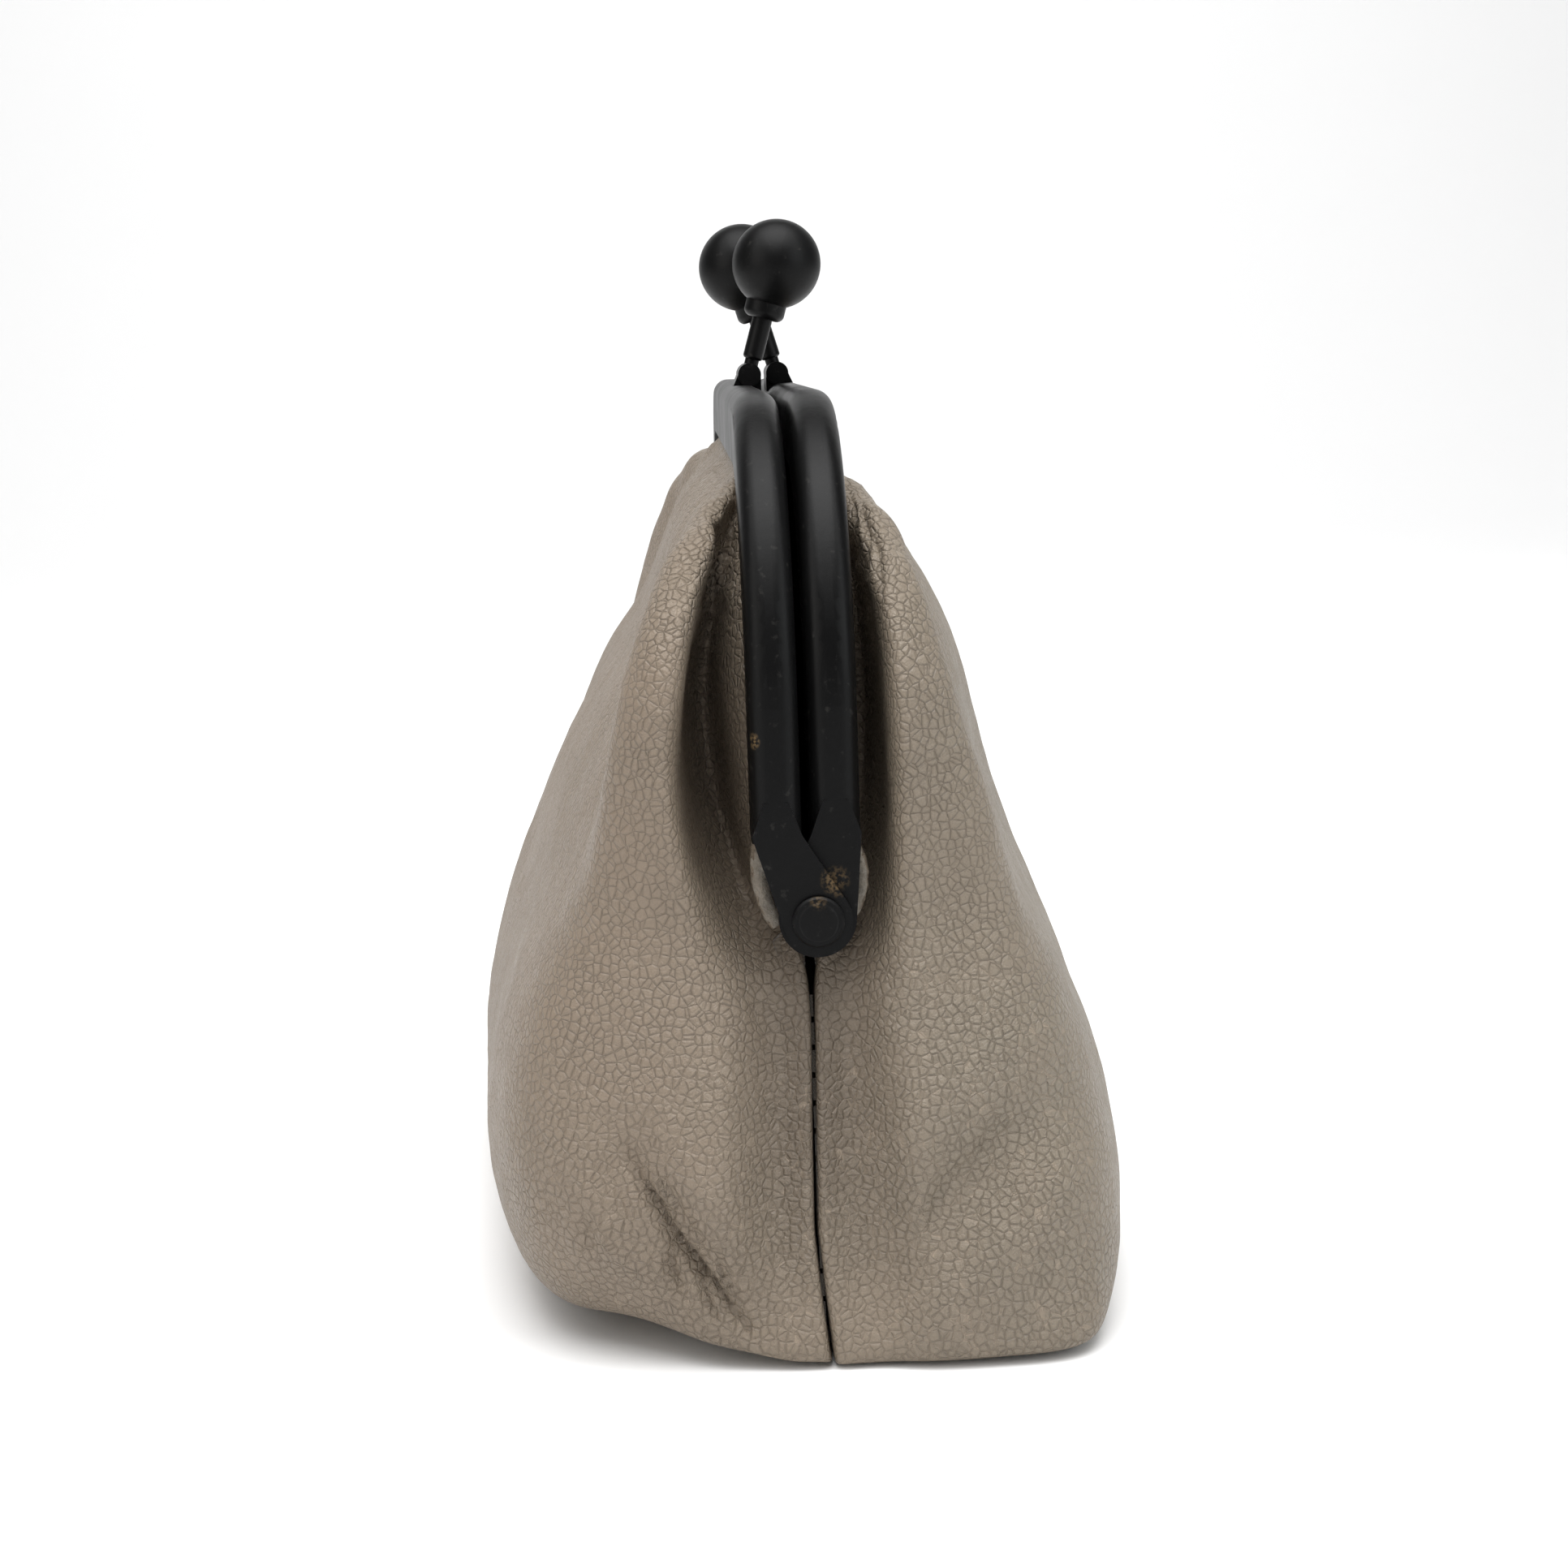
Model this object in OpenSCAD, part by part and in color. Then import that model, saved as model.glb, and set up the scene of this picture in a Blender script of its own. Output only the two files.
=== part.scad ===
// Kiss lock frame purse: a hinged metal frame over a boxed leather pouch.
// X runs along the purse, Y from the front (-) to the back (+), Z up from the table.

/* [Frame] */
// Outer length of the front frame half
frame_length = 210; // [190:1:240]
// Height of the hinge axis above the table
hinge_height = 53; // [48:1:64]
// Height of the frame's top above the hinge axis
frame_rise = 61.2; // [56:0.2:72]
// Distance of the hinge axis behind the plane between the halves
hinge_offset = 1; // [0:0.1:1.2]
// Thickness of one frame half
channel_thickness = 5.9; // [5.7:0.1:6.6]
// Depth of the channel that grips the leather
channel_depth = 9; // [8:0.5:10]
// Thickness of the frame's sheet metal
sheet = 0.95; // [0.8:0.05:1]
// Radius of the rounded outer edges of the channel
crown_radius = 2.4; // [1.8:0.1:2.6]
// Outer radius of the frame's top corners
corner_radius = 36; // [30:0.5:42]
// Gap between the closed halves
halves_gap = 1.1; // [0.8:0.1:1.4]
// Height above the hinge axis where the channel ends and the tab begins
channel_end_rise = 9.2; // [9:0.1:11]
// Height over which the round channel flattens into the tab
tab_blend = 5; // [4:0.5:8]

/* [Hinge] */
// Radius of the front tab's round end, which lies outside
front_tab_radius = 4.1; // [3.8:0.1:4.5]
// Radius of the back tab's round end, which lies inside
back_tab_radius = 4.6; // [4.3:0.1:4.9]
// Gap between the two tabs of one hinge
tab_gap = 0.15; // [0.1:0.05:0.3]
// Diameter of the rivet's head
rivet_head_d = 6.1; // [5:0.1:6.8]
// Height of the rivet's head
rivet_head_h = 0.9; // [0.6:0.1:1.4]
// Diameter of the rivet's shank
rivet_shank_d = 3; // [2.4:0.1:3.4]
// Diameter of the tail that is peened over the washer
rivet_tail_d = 4.4; // [4:0.1:5]
// Height of the peened tail
rivet_tail_h = 0.8; // [0.6:0.1:1.2]
// Outer diameter of the washer under the tail
washer_d = 5.8; // [5.2:0.1:6.6]
// Thickness of the washer
washer_h = 0.5; // [0.4:0.1:0.8]
// Radial clearance of the shank in the tabs and the washer
rivet_clearance = 0.05; // [0.03:0.01:0.08]

/* [Lock] */
// Diameter of each ball
ball_d = 13.2; // [11:0.1:15]
// Height of the ball centres above the frame's top
ball_rise = 17.6; // [15:0.1:21]
// Distance that each ball leans past the middle plane
ball_lean = 2.4; // [1:0.1:3.5]
// Gap that lets the balls pass each other, measured along the frame
ball_pass_gap = 0.1; // [0.05:0.05:0.5]
// Diameter of the foot rod that is brazed to the frame's top
foot_d = 3.4; // [3:0.1:3.8]
// Length of the foot rod
foot_length = 12; // [9:0.5:12.5]
// Height of the foot rod's axis above the frame's top
foot_rise = 1.5; // [1.2:0.1:1.7]
// Distance of the foot rod's axis from the middle plane
foot_offset = 2.3; // [2.1:0.1:2.6]
// Length of the brazed saddle under the foot rod
saddle_length = 10; // [7:0.5:12]
// Width of the saddle on the outer side of the rod
saddle_reach = 2.6; // [2.1:0.1:3]
// Diameter of the peg on the foot rod that holds the stem
peg_d = 2.1; // [1.8:0.1:2.3]
// Length of the peg inside the stem
peg_seat = 2.6; // [2:0.1:4]
// Diameter of the stem
stem_d = 3; // [2.8:0.1:3.6]
// Gap between the foot rod and the lower end of the stem
stem_gap = 0.6; // [0.4:0.1:0.9]
// Depth of the stem inside the ball
ball_seat = 2.6; // [2:0.1:4]
// Radius that rounds the stem's lower edge
stem_round = 0.5; // [0.2:0.1:0.6]
// Diameter of the collar under the ball
collar_d = 6.1; // [5.2:0.1:7.4]
// Height of the collar below the ball
collar_h = 1.7; // [1.2:0.1:2.4]
// Radius of the collar's lower edge
collar_round = 1.1; // [0.5:0.1:1.2]
// Clearance of the lock's seats
seat_clearance = 0.03; // [0.02:0.01:0.06]

/* [Leather] */
// Largest thickness of the filled pouch from front to back
pouch_depth = 91; // [80:1:104]
// Length by which the pouch's foot stands out beyond each end of the frame
foot_overhang = 6; // [3:0.5:10]
// Thickness of the leather
leather_t = 1.1; // [0.9:0.1:1.2]
// Gap between the leather and the outer wall of the channel
leather_gap = 0.3; // [0.25:0.05:0.4]
// Distance of the leather's edge from the outside of the frame, inside the channel
leather_edge = 3.6; // [3.2:0.1:4.5]
// Width of the seams between the front and back panels
seam_gap = 0.7; // [0.6:0.05:0.9]
// Distance of the side seam's upper end behind the frame's end
seam_setback = 7; // [6:0.5:9]
// Length of the boxed base beyond which the base seam runs out at each end
base_box = 11; // [8:1:16]

/* [Lining, cord and thread] */
// Thickness of the lining
lining_t = 0.45; // [0.4:0.05:0.5]
// Gap between the leather and the lining inside the channel
lining_gap = 0.15; // [0.12:0.01:0.2]
// Distance of the lining from the outside of the leather inside the pouch
lining_inset = 2.3; // [2:0.1:4]
// Diameter of the paper cord that wedges the leather in the channel
cord_d = 1.8; // [1.5:0.05:1.85]
// Distance of the cord's axis from the outside of the frame
cord_inset = 3.4; // [3:0.1:4.5]
// Height of the cord's ends above the channel's ends
cord_start = 2; // [1:0.5:4]
// Diameter of the sewing thread
thread_d = 0.5; // [0.3:0.05:0.55]
// Length of one stitch
stitch_length = 2.6; // [2:0.1:4]
// Gap from one stitch to the next
stitch_gap = 0.7; // [0.5:0.1:1]

/* [Hidden] */
$fn = 48;

metal_colour = [0.13, 0.13, 0.13];
rivet_colour = [0.2, 0.19, 0.18];
leather_colour = [0.58, 0.54, 0.48];
lining_colour = [0.42, 0.38, 0.34];
cord_colour = [0.82, 0.76, 0.64];
thread_colour = [0.72, 0.68, 0.6];

frame_top = hinge_height + frame_rise;
channel_end = hinge_height + channel_end_rise;
mouth_height = frame_top - channel_depth;
half_front = frame_length / 2;
half_back = half_front - sheet - tab_gap;
channel_mid = (halves_gap + channel_thickness) / 2;
corner_z = frame_top - corner_radius;

// Frame halves

// Section of the channel: x is the distance in from the outside, y the thickness.
// A positive inset gives the hollow inside the sheet.
module channel_section(inset) {
    half = channel_thickness / 2 - inset;
    round_r = crown_radius - inset;
    translate([crown_radius, -half])
        square([channel_depth - crown_radius + (inset > 0 ? 1 : 0), 2 * half]);
    translate([inset, -half + round_r])
        square([channel_depth - inset, 2 * (half - round_r)]);
    for (side = [-1, 1])
        translate([crown_radius, side * (half - round_r)])
            circle(r = round_r, $fn = 48);
}

// Carries a section along the frame: up the arms, round the corners and along the top.
// The section's x is its distance in from the outside.
module along_course(half_length, start) {
    for (side = [0, 1])
        mirror([side, 0, 0]) {
            translate([half_length, 0, start])
                mirror([1, 0, 0])
                    linear_extrude(corner_z - start)
                        children();
            translate([half_length - corner_radius, 0, corner_z])
                rotate([90, 0, 0])
                    rotate_extrude(angle = 90)
                        translate([corner_radius, 0])
                            mirror([1, 0, 0])
                                children();
        }
    translate([corner_radius - half_length, 0, frame_top])
        rotate([0, 90, 0])
            linear_extrude(2 * (half_length - corner_radius))
                children();
}

// Point where a line from p touches a circle about c, on the left for side 1.
function tangent_point(p, c, r, side) =
    let (d = p - c, reach = norm(d), turn = side * acos(r / reach), a = atan2(d[1], d[0]) + turn)
    c + r * [cos(a), sin(a)];

// Flat tab in the plane of the hinge, from the channel's end down to the round end.
module tab_outline(tab_radius, front) {
    side = front ? -1 : 1;
    flat = channel_thickness / 2 - crown_radius + sheet;
    centre = [hinge_offset, hinge_height];
    outer = [side * (channel_mid + flat), channel_end + tab_blend];
    inner = [side * (channel_mid - flat), channel_end + tab_blend];
    outer_low = [side * (channel_mid + channel_thickness / 2), channel_end + 1];
    inner_low = [side * (channel_mid - channel_thickness / 2), channel_end + 1];
    difference() {
        union() {
            translate(centre)
                circle(r = tab_radius);
            polygon([outer, outer_low, tangent_point(outer_low, centre, tab_radius, -side), centre,
                tangent_point(inner_low, centre, tab_radius, side), inner_low, inner]);
        }
        translate(centre)
            circle(d = rivet_shank_d + 2 * rivet_clearance);
    }
}

// One frame half; front is the half whose tabs lie outside.
module frame_half(half_length, tab_radius, front) {
    color(metal_colour) {
        translate([0, front ? -channel_mid : channel_mid, 0])
            difference() {
                along_course(half_length, channel_end)
                    channel_section(0);
                along_course(half_length, channel_end - 1)
                    channel_section(sheet);
            }
        for (side = [0, 1])
            mirror([side, 0, 0])
                translate([half_length - sheet, 0, 0])
                    rotate([90, 0, 90])
                        linear_extrude(sheet)
                            tab_outline(tab_radius, front);
    }
}

module frame_front() {
    frame_half(half_front, front_tab_radius, true);
}

module frame_back() {
    frame_half(half_back, back_tab_radius, false);
}

// Hinge

// Play of the rivet along its axis, on each side of the tabs
rivet_play = 0.05;
// The head's face stands a step above a narrow rim.
rim_width = 0.7;
rim_slope = 0.2;
rim_step = 0.12;
rim_chamfer = 0.25;
washer_x = half_back - sheet - washer_h - rivet_play;

// Rivet along +X at the right-hand hinge, with its head outside.
module hinge_rivet() {
    head_r = rivet_head_d / 2;
    tail_r = rivet_tail_d / 2;
    shank_r = rivet_shank_d / 2;
    head_x = half_front + rivet_play;
    face_x = head_x + rivet_head_h;
    rim_x = face_x - rim_step;
    tail_x = washer_x - rivet_play;
    color(rivet_colour)
        translate([0, hinge_offset, hinge_height])
            rotate([0, 90, 0])
                rotate_extrude()
                    polygon([[0, face_x], [head_r - rim_width - rim_slope, face_x],
                        [head_r - rim_width, rim_x], [head_r - rim_chamfer, rim_x],
                        [head_r, rim_x - rim_chamfer], [head_r, head_x],
                        [shank_r, head_x], [shank_r, tail_x], [tail_r, tail_x],
                        [tail_r, tail_x - rivet_tail_h / 3],
                        [shank_r, tail_x - rivet_tail_h], [0, tail_x - rivet_tail_h]]);
}

module hinge_washer() {
    color(rivet_colour)
        translate([washer_x, hinge_offset, hinge_height])
            rotate([0, 90, 0])
                difference() {
                    cylinder(d = washer_d, h = washer_h);
                    translate([0, 0, -1])
                        cylinder(d = rivet_shank_d + 2 * rivet_clearance, h = washer_h + 2);
                }
}

module hinge_rivet_right() {
    hinge_rivet();
}

module hinge_rivet_left() {
    mirror([1, 0, 0])
        hinge_rivet();
}

module hinge_washer_right() {
    hinge_washer();
}

module hinge_washer_left() {
    mirror([1, 0, 0])
        hinge_washer();
}

// Kiss lock: foot rod, stem, collar and ball of the front half.
// The back half has the same lock turned half round.

ball_x = (ball_d + ball_pass_gap) / 2;
ball_z = frame_top + ball_rise;
foot_z = frame_top + foot_rise;
lock_axis = [0, ball_lean + foot_offset, ball_z - foot_z];
lock_length = norm(lock_axis);
lock_tilt = atan2(lock_axis[1], lock_axis[2]);
stem_start = foot_d / 2 + stem_gap;
stem_end = lock_length - ball_d / 2 + ball_seat;

// Gap between the lock and the crown of the frame
crown_gap = 0.02;
// Depth by which the saddle's outer edge and its root reach down beside the crown
saddle_drop = 0.5;
saddle_root = 1.2;

// Stands its children on the foot rod's axis, along the leaning stem.
module on_lock_axis() {
    translate([ball_x, -foot_offset, foot_z])
        rotate([-lock_tilt, 0, 0])
            children();
}

module lock_foot() {
    color(metal_colour) {
        difference() {
            union() {
                translate([ball_x - foot_length / 2, -foot_offset, foot_z])
                    rotate([0, 90, 0])
                        cylinder(d = foot_d, h = foot_length);
                translate([ball_x - saddle_length / 2, 0, 0])
                    rotate([90, 0, 90])
                        linear_extrude(saddle_length)
                            polygon([[-foot_offset - saddle_reach, frame_top - saddle_root],
                                [-foot_offset - saddle_reach, frame_top - saddle_drop],
                                [-foot_offset - foot_d / 2, foot_z],
                                [-foot_offset + foot_d / 2, foot_z],
                                [-foot_offset + foot_d / 2, frame_top - saddle_root]]);
            }
            translate([ball_x - foot_length, -channel_mid, frame_top + crown_gap])
                rotate([0, 90, 0])
                    linear_extrude(2 * foot_length)
                        channel_section(0);
        }
        on_lock_axis()
            cylinder(d = peg_d, h = stem_start + peg_seat);
    }
}

module lock_stem() {
    stem_r = stem_d / 2;
    bore_r = peg_d / 2 + seat_clearance;
    color(metal_colour)
        on_lock_axis()
            difference() {
                union() {
                    translate([0, 0, stem_start + stem_round])
                        cylinder(r = stem_r, h = stem_end - stem_start - stem_round);
                    translate([0, 0, stem_start])
                        cylinder(r = stem_r - stem_round, h = 2 * stem_round);
                    translate([0, 0, stem_start + stem_round])
                        rotate_extrude()
                            translate([stem_r - stem_round, 0])
                                circle(r = stem_round);
                }
                translate([0, 0, stem_start - 1])
                    cylinder(r = bore_r, h = peg_seat + 1 + seat_clearance);
            }
}

module lock_collar() {
    outer = collar_d / 2;
    bottom = lock_length - ball_d / 2 - collar_h;
    color(metal_colour)
        on_lock_axis()
            difference() {
                union() {
                    translate([0, 0, bottom + collar_round])
                        cylinder(r = outer, h = collar_h + ball_d / 4);
                    translate([0, 0, bottom])
                        cylinder(r = outer - collar_round, h = 2 * collar_round);
                    translate([0, 0, bottom + collar_round])
                        rotate_extrude()
                            translate([outer - collar_round, 0])
                                circle(r = collar_round);
                }
                translate([0, 0, bottom - 1])
                    cylinder(d = stem_d + 2 * seat_clearance, h = ball_d);
                translate([0, 0, lock_length])
                    sphere(d = ball_d + 2 * seat_clearance);
            }
}

module lock_ball() {
    color(metal_colour)
        difference() {
            on_lock_axis()
                translate([0, 0, lock_length])
                    sphere(d = ball_d, $fn = 64);
            on_lock_axis()
                translate([0, 0, stem_start])
                    cylinder(d = stem_d + 2 * seat_clearance, h = stem_end - stem_start + seat_clearance);
        }
}

module lock_foot_front() {
    lock_foot();
}

module lock_foot_back() {
    rotate([0, 0, 180])
        lock_foot();
}

module lock_stem_front() {
    lock_stem();
}

module lock_stem_back() {
    rotate([0, 0, 180])
        lock_stem();
}

module lock_collar_front() {
    lock_collar();
}

module lock_collar_back() {
    rotate([0, 0, 180])
        lock_collar();
}

module lock_ball_front() {
    lock_ball();
}

module lock_ball_back() {
    rotate([0, 0, 180])
        lock_ball();
}

// Paper cord in each channel, against the inner wall

// Gap between the cord and the channel's inner wall
cord_gap = 0.1;
cord_y = halves_gap / 2 + sheet + cord_gap + cord_d / 2;

module paper_cord(half_length) {
    color(cord_colour)
        along_course(half_length, channel_end + cord_start)
            translate([cord_inset, 0])
                circle(d = cord_d, $fn = 32);
}

module paper_cord_front() {
    translate([0, -cord_y, 0])
        paper_cord(half_front);
}

module paper_cord_back() {
    translate([0, cord_y, 0])
        paper_cord(half_back);
}

// Pouch: panels lofted through sections that follow these lines.
// Level 0 is the table, 1 the hinge axis and 2 the mouth of the channel.
// Each line holds [level, distance in from the frame's end, share of the swell].
// Above the corners' centres the lines also follow the mouth round the corner.

groove_line = [[0, 0, 0.07], [0.4, 1.5, 0.05], [0.75, 6, 0.03], [0.92, 10, 0.03], [1.02, 14, 0.05],
    [1.15, 15, 0.1], [1.32, 14.5, 0.13], [1.7, 14, 0.08], [1.83, 14, 0.035], [1.94, 14, 0.005], [2, 14, 0]];
flank_line = [[0, -0.5, 0.16], [0.4, 0, 0.17], [0.75, 3.5, 0.14], [0.92, 5.5, 0.12], [1.02, 6.5, 0.14],
    [1.15, 7.5, 0.17], [1.32, 8, 0.2], [1.7, 11.5, 0.13], [1.83, 14.5, 0.07], [1.94, 16, 0.01], [2, 16, 0]];
nose_line = [[0, -0.5, 0.38], [0.1, -1, 0.4], [0.4, 0, 0.33], [0.75, 2.5, 0.29], [0.92, 3.5, 0.26],
    [1.02, 3.5, 0.27], [1.15, 3.5, 0.3], [1.32, 4, 0.31], [1.51, 5, 0.27], [1.7, 9.5, 0.2],
    [1.83, 15.5, 0.12], [1.94, 19, 0.025], [2, 19, 0]];
cheek_line = [[0, 0.5, 0.66], [0.1, 0, 0.7], [0.4, 2.5, 0.66], [0.75, 4.5, 0.62], [1.02, 6, 0.52],
    [1.15, 7, 0.47], [1.32, 8.5, 0.42], [1.51, 10, 0.35], [1.7, 14, 0.27], [1.83, 19, 0.17],
    [1.94, 23, 0.05], [2, 22, 0]];
shoulder_line = [[0, 9, 0.74], [0.1, 8.5, 0.83], [0.4, 11, 0.86], [0.75, 13, 0.78], [1.02, 16, 0.6],
    [1.32, 20, 0.45], [1.51, 22, 0.37], [1.7, 24, 0.27], [1.83, 27, 0.18], [1.94, 33, 0.05], [2, 32, 0]];
side_line = [[0, 52, 0.79], [0.1, 52, 0.9], [0.25, 52, 0.93], [0.4, 52, 0.935], [0.57, 52, 0.91],
    [0.75, 52, 0.84], [0.94, 52, 0.74], [1.13, 52, 0.66], [1.32, 52, 0.57], [1.51, 52, 0.46],
    [1.7, 53, 0.33], [1.83, 56, 0.22], [1.9, 60, 0.12], [1.96, 66, 0.02], [2, 69, 0]];
belly_line = [[0, 0, 0.83], [0.1, 0, 0.93], [0.25, 0, 0.98], [0.4, 0, 1], [0.57, 0, 0.965],
    [0.75, 0, 0.89], [0.94, 0, 0.79], [1.13, 0, 0.69], [1.32, 0, 0.6], [1.51, 0, 0.475],
    [1.7, 0, 0.335], [1.83, 0, 0.22], [1.9, 0, 0.12], [1.96, 0, 0.02], [2, 0, 0]];

// Levels of the sections, from the table to the channel's mouth
section_levels = [0, 0.06, 0.17, 0.34, 0.53, 0.72, 0.87, 0.98, 1.09, 1.21, 1.36, 1.51, 1.66, 1.77, 1.85, 1.9, 1.96];
// Shares of the way from the base seam to the pouch's edge, under the base
base_shares = [0, 0.4, 0.75];
// Shares of the way from the channel's mouth to the leather's edge, inside the channel
grip_shares = [0, 0.45, 1];

grip_y = halves_gap / 2 + channel_thickness - sheet - leather_gap;
// Flat runs of the panel before and after the channel's mouth
grip_run = 1.5;
mouth_run = 3.5;
// How the panel turns out of the seam: steps along X, then distances from the middle plane
seam_steps = [0, 0.6, 1];
leather_turn = [seam_gap / 2, 2.4, 4.6];
lining_turn = [seam_gap / 2, 1.4, 3.4];
// Distance that the lining keeps clear of the leather's folds
fold_clear = 4;

function line_inset(line, level) = lookup(level, [for (p = line) [p[0], p[1]]]);
function line_share(line, level) = lookup(level, [for (p = line) [p[0], p[2]]]);
function level_height(level) = level < 1 ? level * hinge_height
    : hinge_height + (level - 1) * (mouth_height - hinge_height);
function ramp(value, from, to) = min(1, max(0, (value - from) / (to - from)));

// How far the pouch's foot stands out: all of it at the table, nothing at the hinge.
function overhang(level) = foot_overhang * (1 - pow(min(level, 1), 2));

// X of a course that runs inside the frame at a distance from its outside.
function course_x(z, inset) =
    let (bend = corner_radius - inset, up = z - frame_top + corner_radius)
    up <= 0 ? half_front - inset
        : up < bend ? half_front - corner_radius + sqrt(bend * bend - up * up)
        : half_front - corner_radius - 0.4 * (up - bend);
// How far the channel's mouth lies further in than on the straight arm.
function corner_inset(z) = half_front - channel_depth - course_x(z, channel_depth);

// The panel's edge runs down the seam below the hinge and is held in the channel above it.
function held(level) = ramp(level, 0.9, 1.06);
function panel_y(lined) = grip_y - (lined ? leather_t + lining_gap : 0);
function panel_edge(lined) = leather_edge + (lined ? lining_inset / 4 : 0);
function panel_inset(lined) = lined ? lining_inset : 0;

// First three control points of a section, next to the panel's edge.
function edge_points(level, lined) =
    let (z = level_height(level), h = held(level - (lined ? 0.04 : 0)),
        courses = [course_x(z, panel_edge(lined)), course_x(z, channel_depth - grip_run),
            course_x(z, channel_depth) - mouth_run],
        seam_x = half_front + overhang(level) - seam_setback * min(1, level) - panel_inset(lined),
        turn = lined ? lining_turn : leather_turn)
    [for (i = [0:2])
        let (x = (1 - h) * (seam_x + seam_steps[i]) + h * courses[i])
        [x, (1 - h) * turn[i] + h * panel_y(lined), z]];

// Control points of one section, from the right-hand edge to the middle.
// The lining leaves the channel lower than the leather and stays out of its folds.
function half_section(level, lined) =
    let (z = level_height(level), y = panel_y(lined), in = panel_inset(lined),
        swell = pouch_depth / 2 - grip_y - in, corner = corner_inset(z),
        lines = [groove_line, flank_line, nose_line, cheek_line, shoulder_line],
        tucked = lined ? ramp(level, 0.7, 1) : 0,
        deepest = line_inset(groove_line, level) + fold_clear,
        flare = lined ? min(2, level + 0.06 * max(0, level - 1)) : level,
        side_x = half_front - line_inset(side_line, level),
        side_s = line_share(side_line, flare), belly_s = line_share(belly_line, flare))
    concat(
        edge_points(level, lined),
        [for (i = [0:4])
            let (own = line_inset(lines[i], level), inset = own + tucked * max(0, deepest + i - own),
                s = line_share(lines[i], flare) * (i == 0 ? 1 - tucked : 1))
            [half_front + overhang(level) - inset - in - corner, y + swell * s, z]],
        [[side_x, y + swell * side_s, z], [side_x / 2, y + swell * (side_s + belly_s) / 2, z],
            [0, y + swell * belly_s, z]]);

// Control points inside the channel above its mouth, all in one plane.
function grip_section(share, lined) =
    let (edge = panel_edge(lined), z = mouth_height + share * (channel_depth - edge),
        top_x = half_front - corner_radius, mouth = half_section(2, lined))
    [for (i = [0:10]) [i == 0 ? course_x(z, edge) : min(mouth[i][0], top_x - i), panel_y(lined), z]];

// Control points under the base, between the base seam and the pouch's edge.
function base_section(share, lined) =
    let (edge = half_section(0, lined), run = half_front + foot_overhang - base_box - panel_inset(lined))
    [for (i = [0:10])
        let (from = [run * (1 - i / 10), seam_gap / 2, 0])
        from + share * (edge[i] - from)];

function mirrored(half) = concat(half, [for (i = [len(half) - 2:-1:0]) [-half[i][0], half[i][1], half[i][2]]]);

function panel_net(lined) = concat(
    [for (s = base_shares) mirrored(base_section(s, lined))],
    [for (l = section_levels) mirrored(half_section(l, lined))],
    [for (s = grip_shares) mirrored(grip_section(s, lined))]);

// Uniform cubic spline through a row of control points, ending on the first and last.
function beyond(c, i) = i < 0 ? 2 * c[0] - c[1]
    : i >= len(c) ? 2 * c[len(c) - 1] - c[len(c) - 2] : c[i];
function spline_point(c, s) =
    let (i = min(floor(s), len(c) - 2), t = s - i, r = 1 - t)
    r * r * r / 6 * beyond(c, i - 1) + (3 * t * t * t - 6 * t * t + 4) / 6 * beyond(c, i)
        + (3 * r * r * r - 6 * r * r + 4) / 6 * beyond(c, i + 1) + t * t * t / 6 * beyond(c, i + 2);

// Samples a net along its sections and then up them.
function surface_grid(net, along, up) =
    let (rows = [for (row = net) [for (s = along) spline_point(row, s)]])
    [for (v = up) [for (j = [0:len(along) - 1]) spline_point([for (row = rows) row[j]], v)]];

// Normal of a grid at one point, pointing out of the pouch.
function grid_normal(g, i, j) =
    let (m = len(g) - 1, n = len(g[0]) - 1,
        a = min(max(i, 1), m - 1), b = min(max(j, 1), n - 1),
        up = g[min(i + 1, m)][b] - g[max(i - 1, 0)][b],
        on = g[a][min(j + 1, n)] - g[a][max(j - 1, 0)], k = cross(on, up))
    k / norm(k);

// The grid moved into the pouch, kept on its own side of the seams.
function inner_grid(g, t) = [for (i = [0:len(g) - 1]) [for (j = [0:len(g[0]) - 1])
    let (p = g[i][j] - t * grid_normal(g, i, j))
    [p[0], max(p[1], seam_gap / 2), p[2]]]];

// Closed shell between a grid and the same grid moved in by the thickness.
module shell(g, t, colour) {
    m = len(g);
    n = len(g[0]);
    inner = inner_grid(g, t);
    points = concat([for (row = g) for (p = row) p], [for (row = inner) for (p = row) p]);
    skin = [for (i = [0:m - 2]) for (j = [0:n - 2])
        let (a = i * n + j, b = a + 1, c = a + n, d = c + 1)
        each 2 * j < n - 1 ? [[a, d, b], [a, c, d]] : [[a, c, b], [b, c, d]]];
    rim = concat([for (j = [0:n - 2]) j], [for (i = [0:m - 2]) i * n + n - 1],
        [for (j = [n - 1:-1:1]) (m - 1) * n + j], [for (i = [m - 1:-1:1]) i * n]);
    sides = [for (k = [0:len(rim) - 1])
        let (a = rim[k], b = rim[(k + 1) % len(rim)])
        each [[a, b, a + m * n], [b, b + m * n, a + m * n]]];
    color(colour)
        polyhedron(points, concat(skin, [for (f = skin) [f[0] + m * n, f[2] + m * n, f[1] + m * n]], sides));
}

leather_columns = [for (s = [0:0.5:8]) s, 9, 10, 11, for (s = [12:0.5:20]) s];
lining_columns = [0, 1, 2, 3, 4, 6, 7, 8, 9, 10, 11, 12, 13, 14, 16, 17, 18, 19, 20];
panel_rows = [for (v = [0:len(base_shares) + len(section_levels) + len(grip_shares) - 1]) v];

module back_leather() {
    shell(surface_grid(panel_net(false), leather_columns, panel_rows), leather_t, leather_colour);
}

module back_lining() {
    lift = lining_inset;
    shell([for (row = surface_grid(panel_net(true), lining_columns, panel_rows))
        [for (p = row) [p[0], p[1], p[2] + lift * max(0, 1 - p[2] / hinge_height)]]], lining_t, lining_colour);
}

module leather_back() {
    back_leather();
}

module leather_front() {
    mirror([0, 1, 0])
        back_leather();
}

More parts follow.
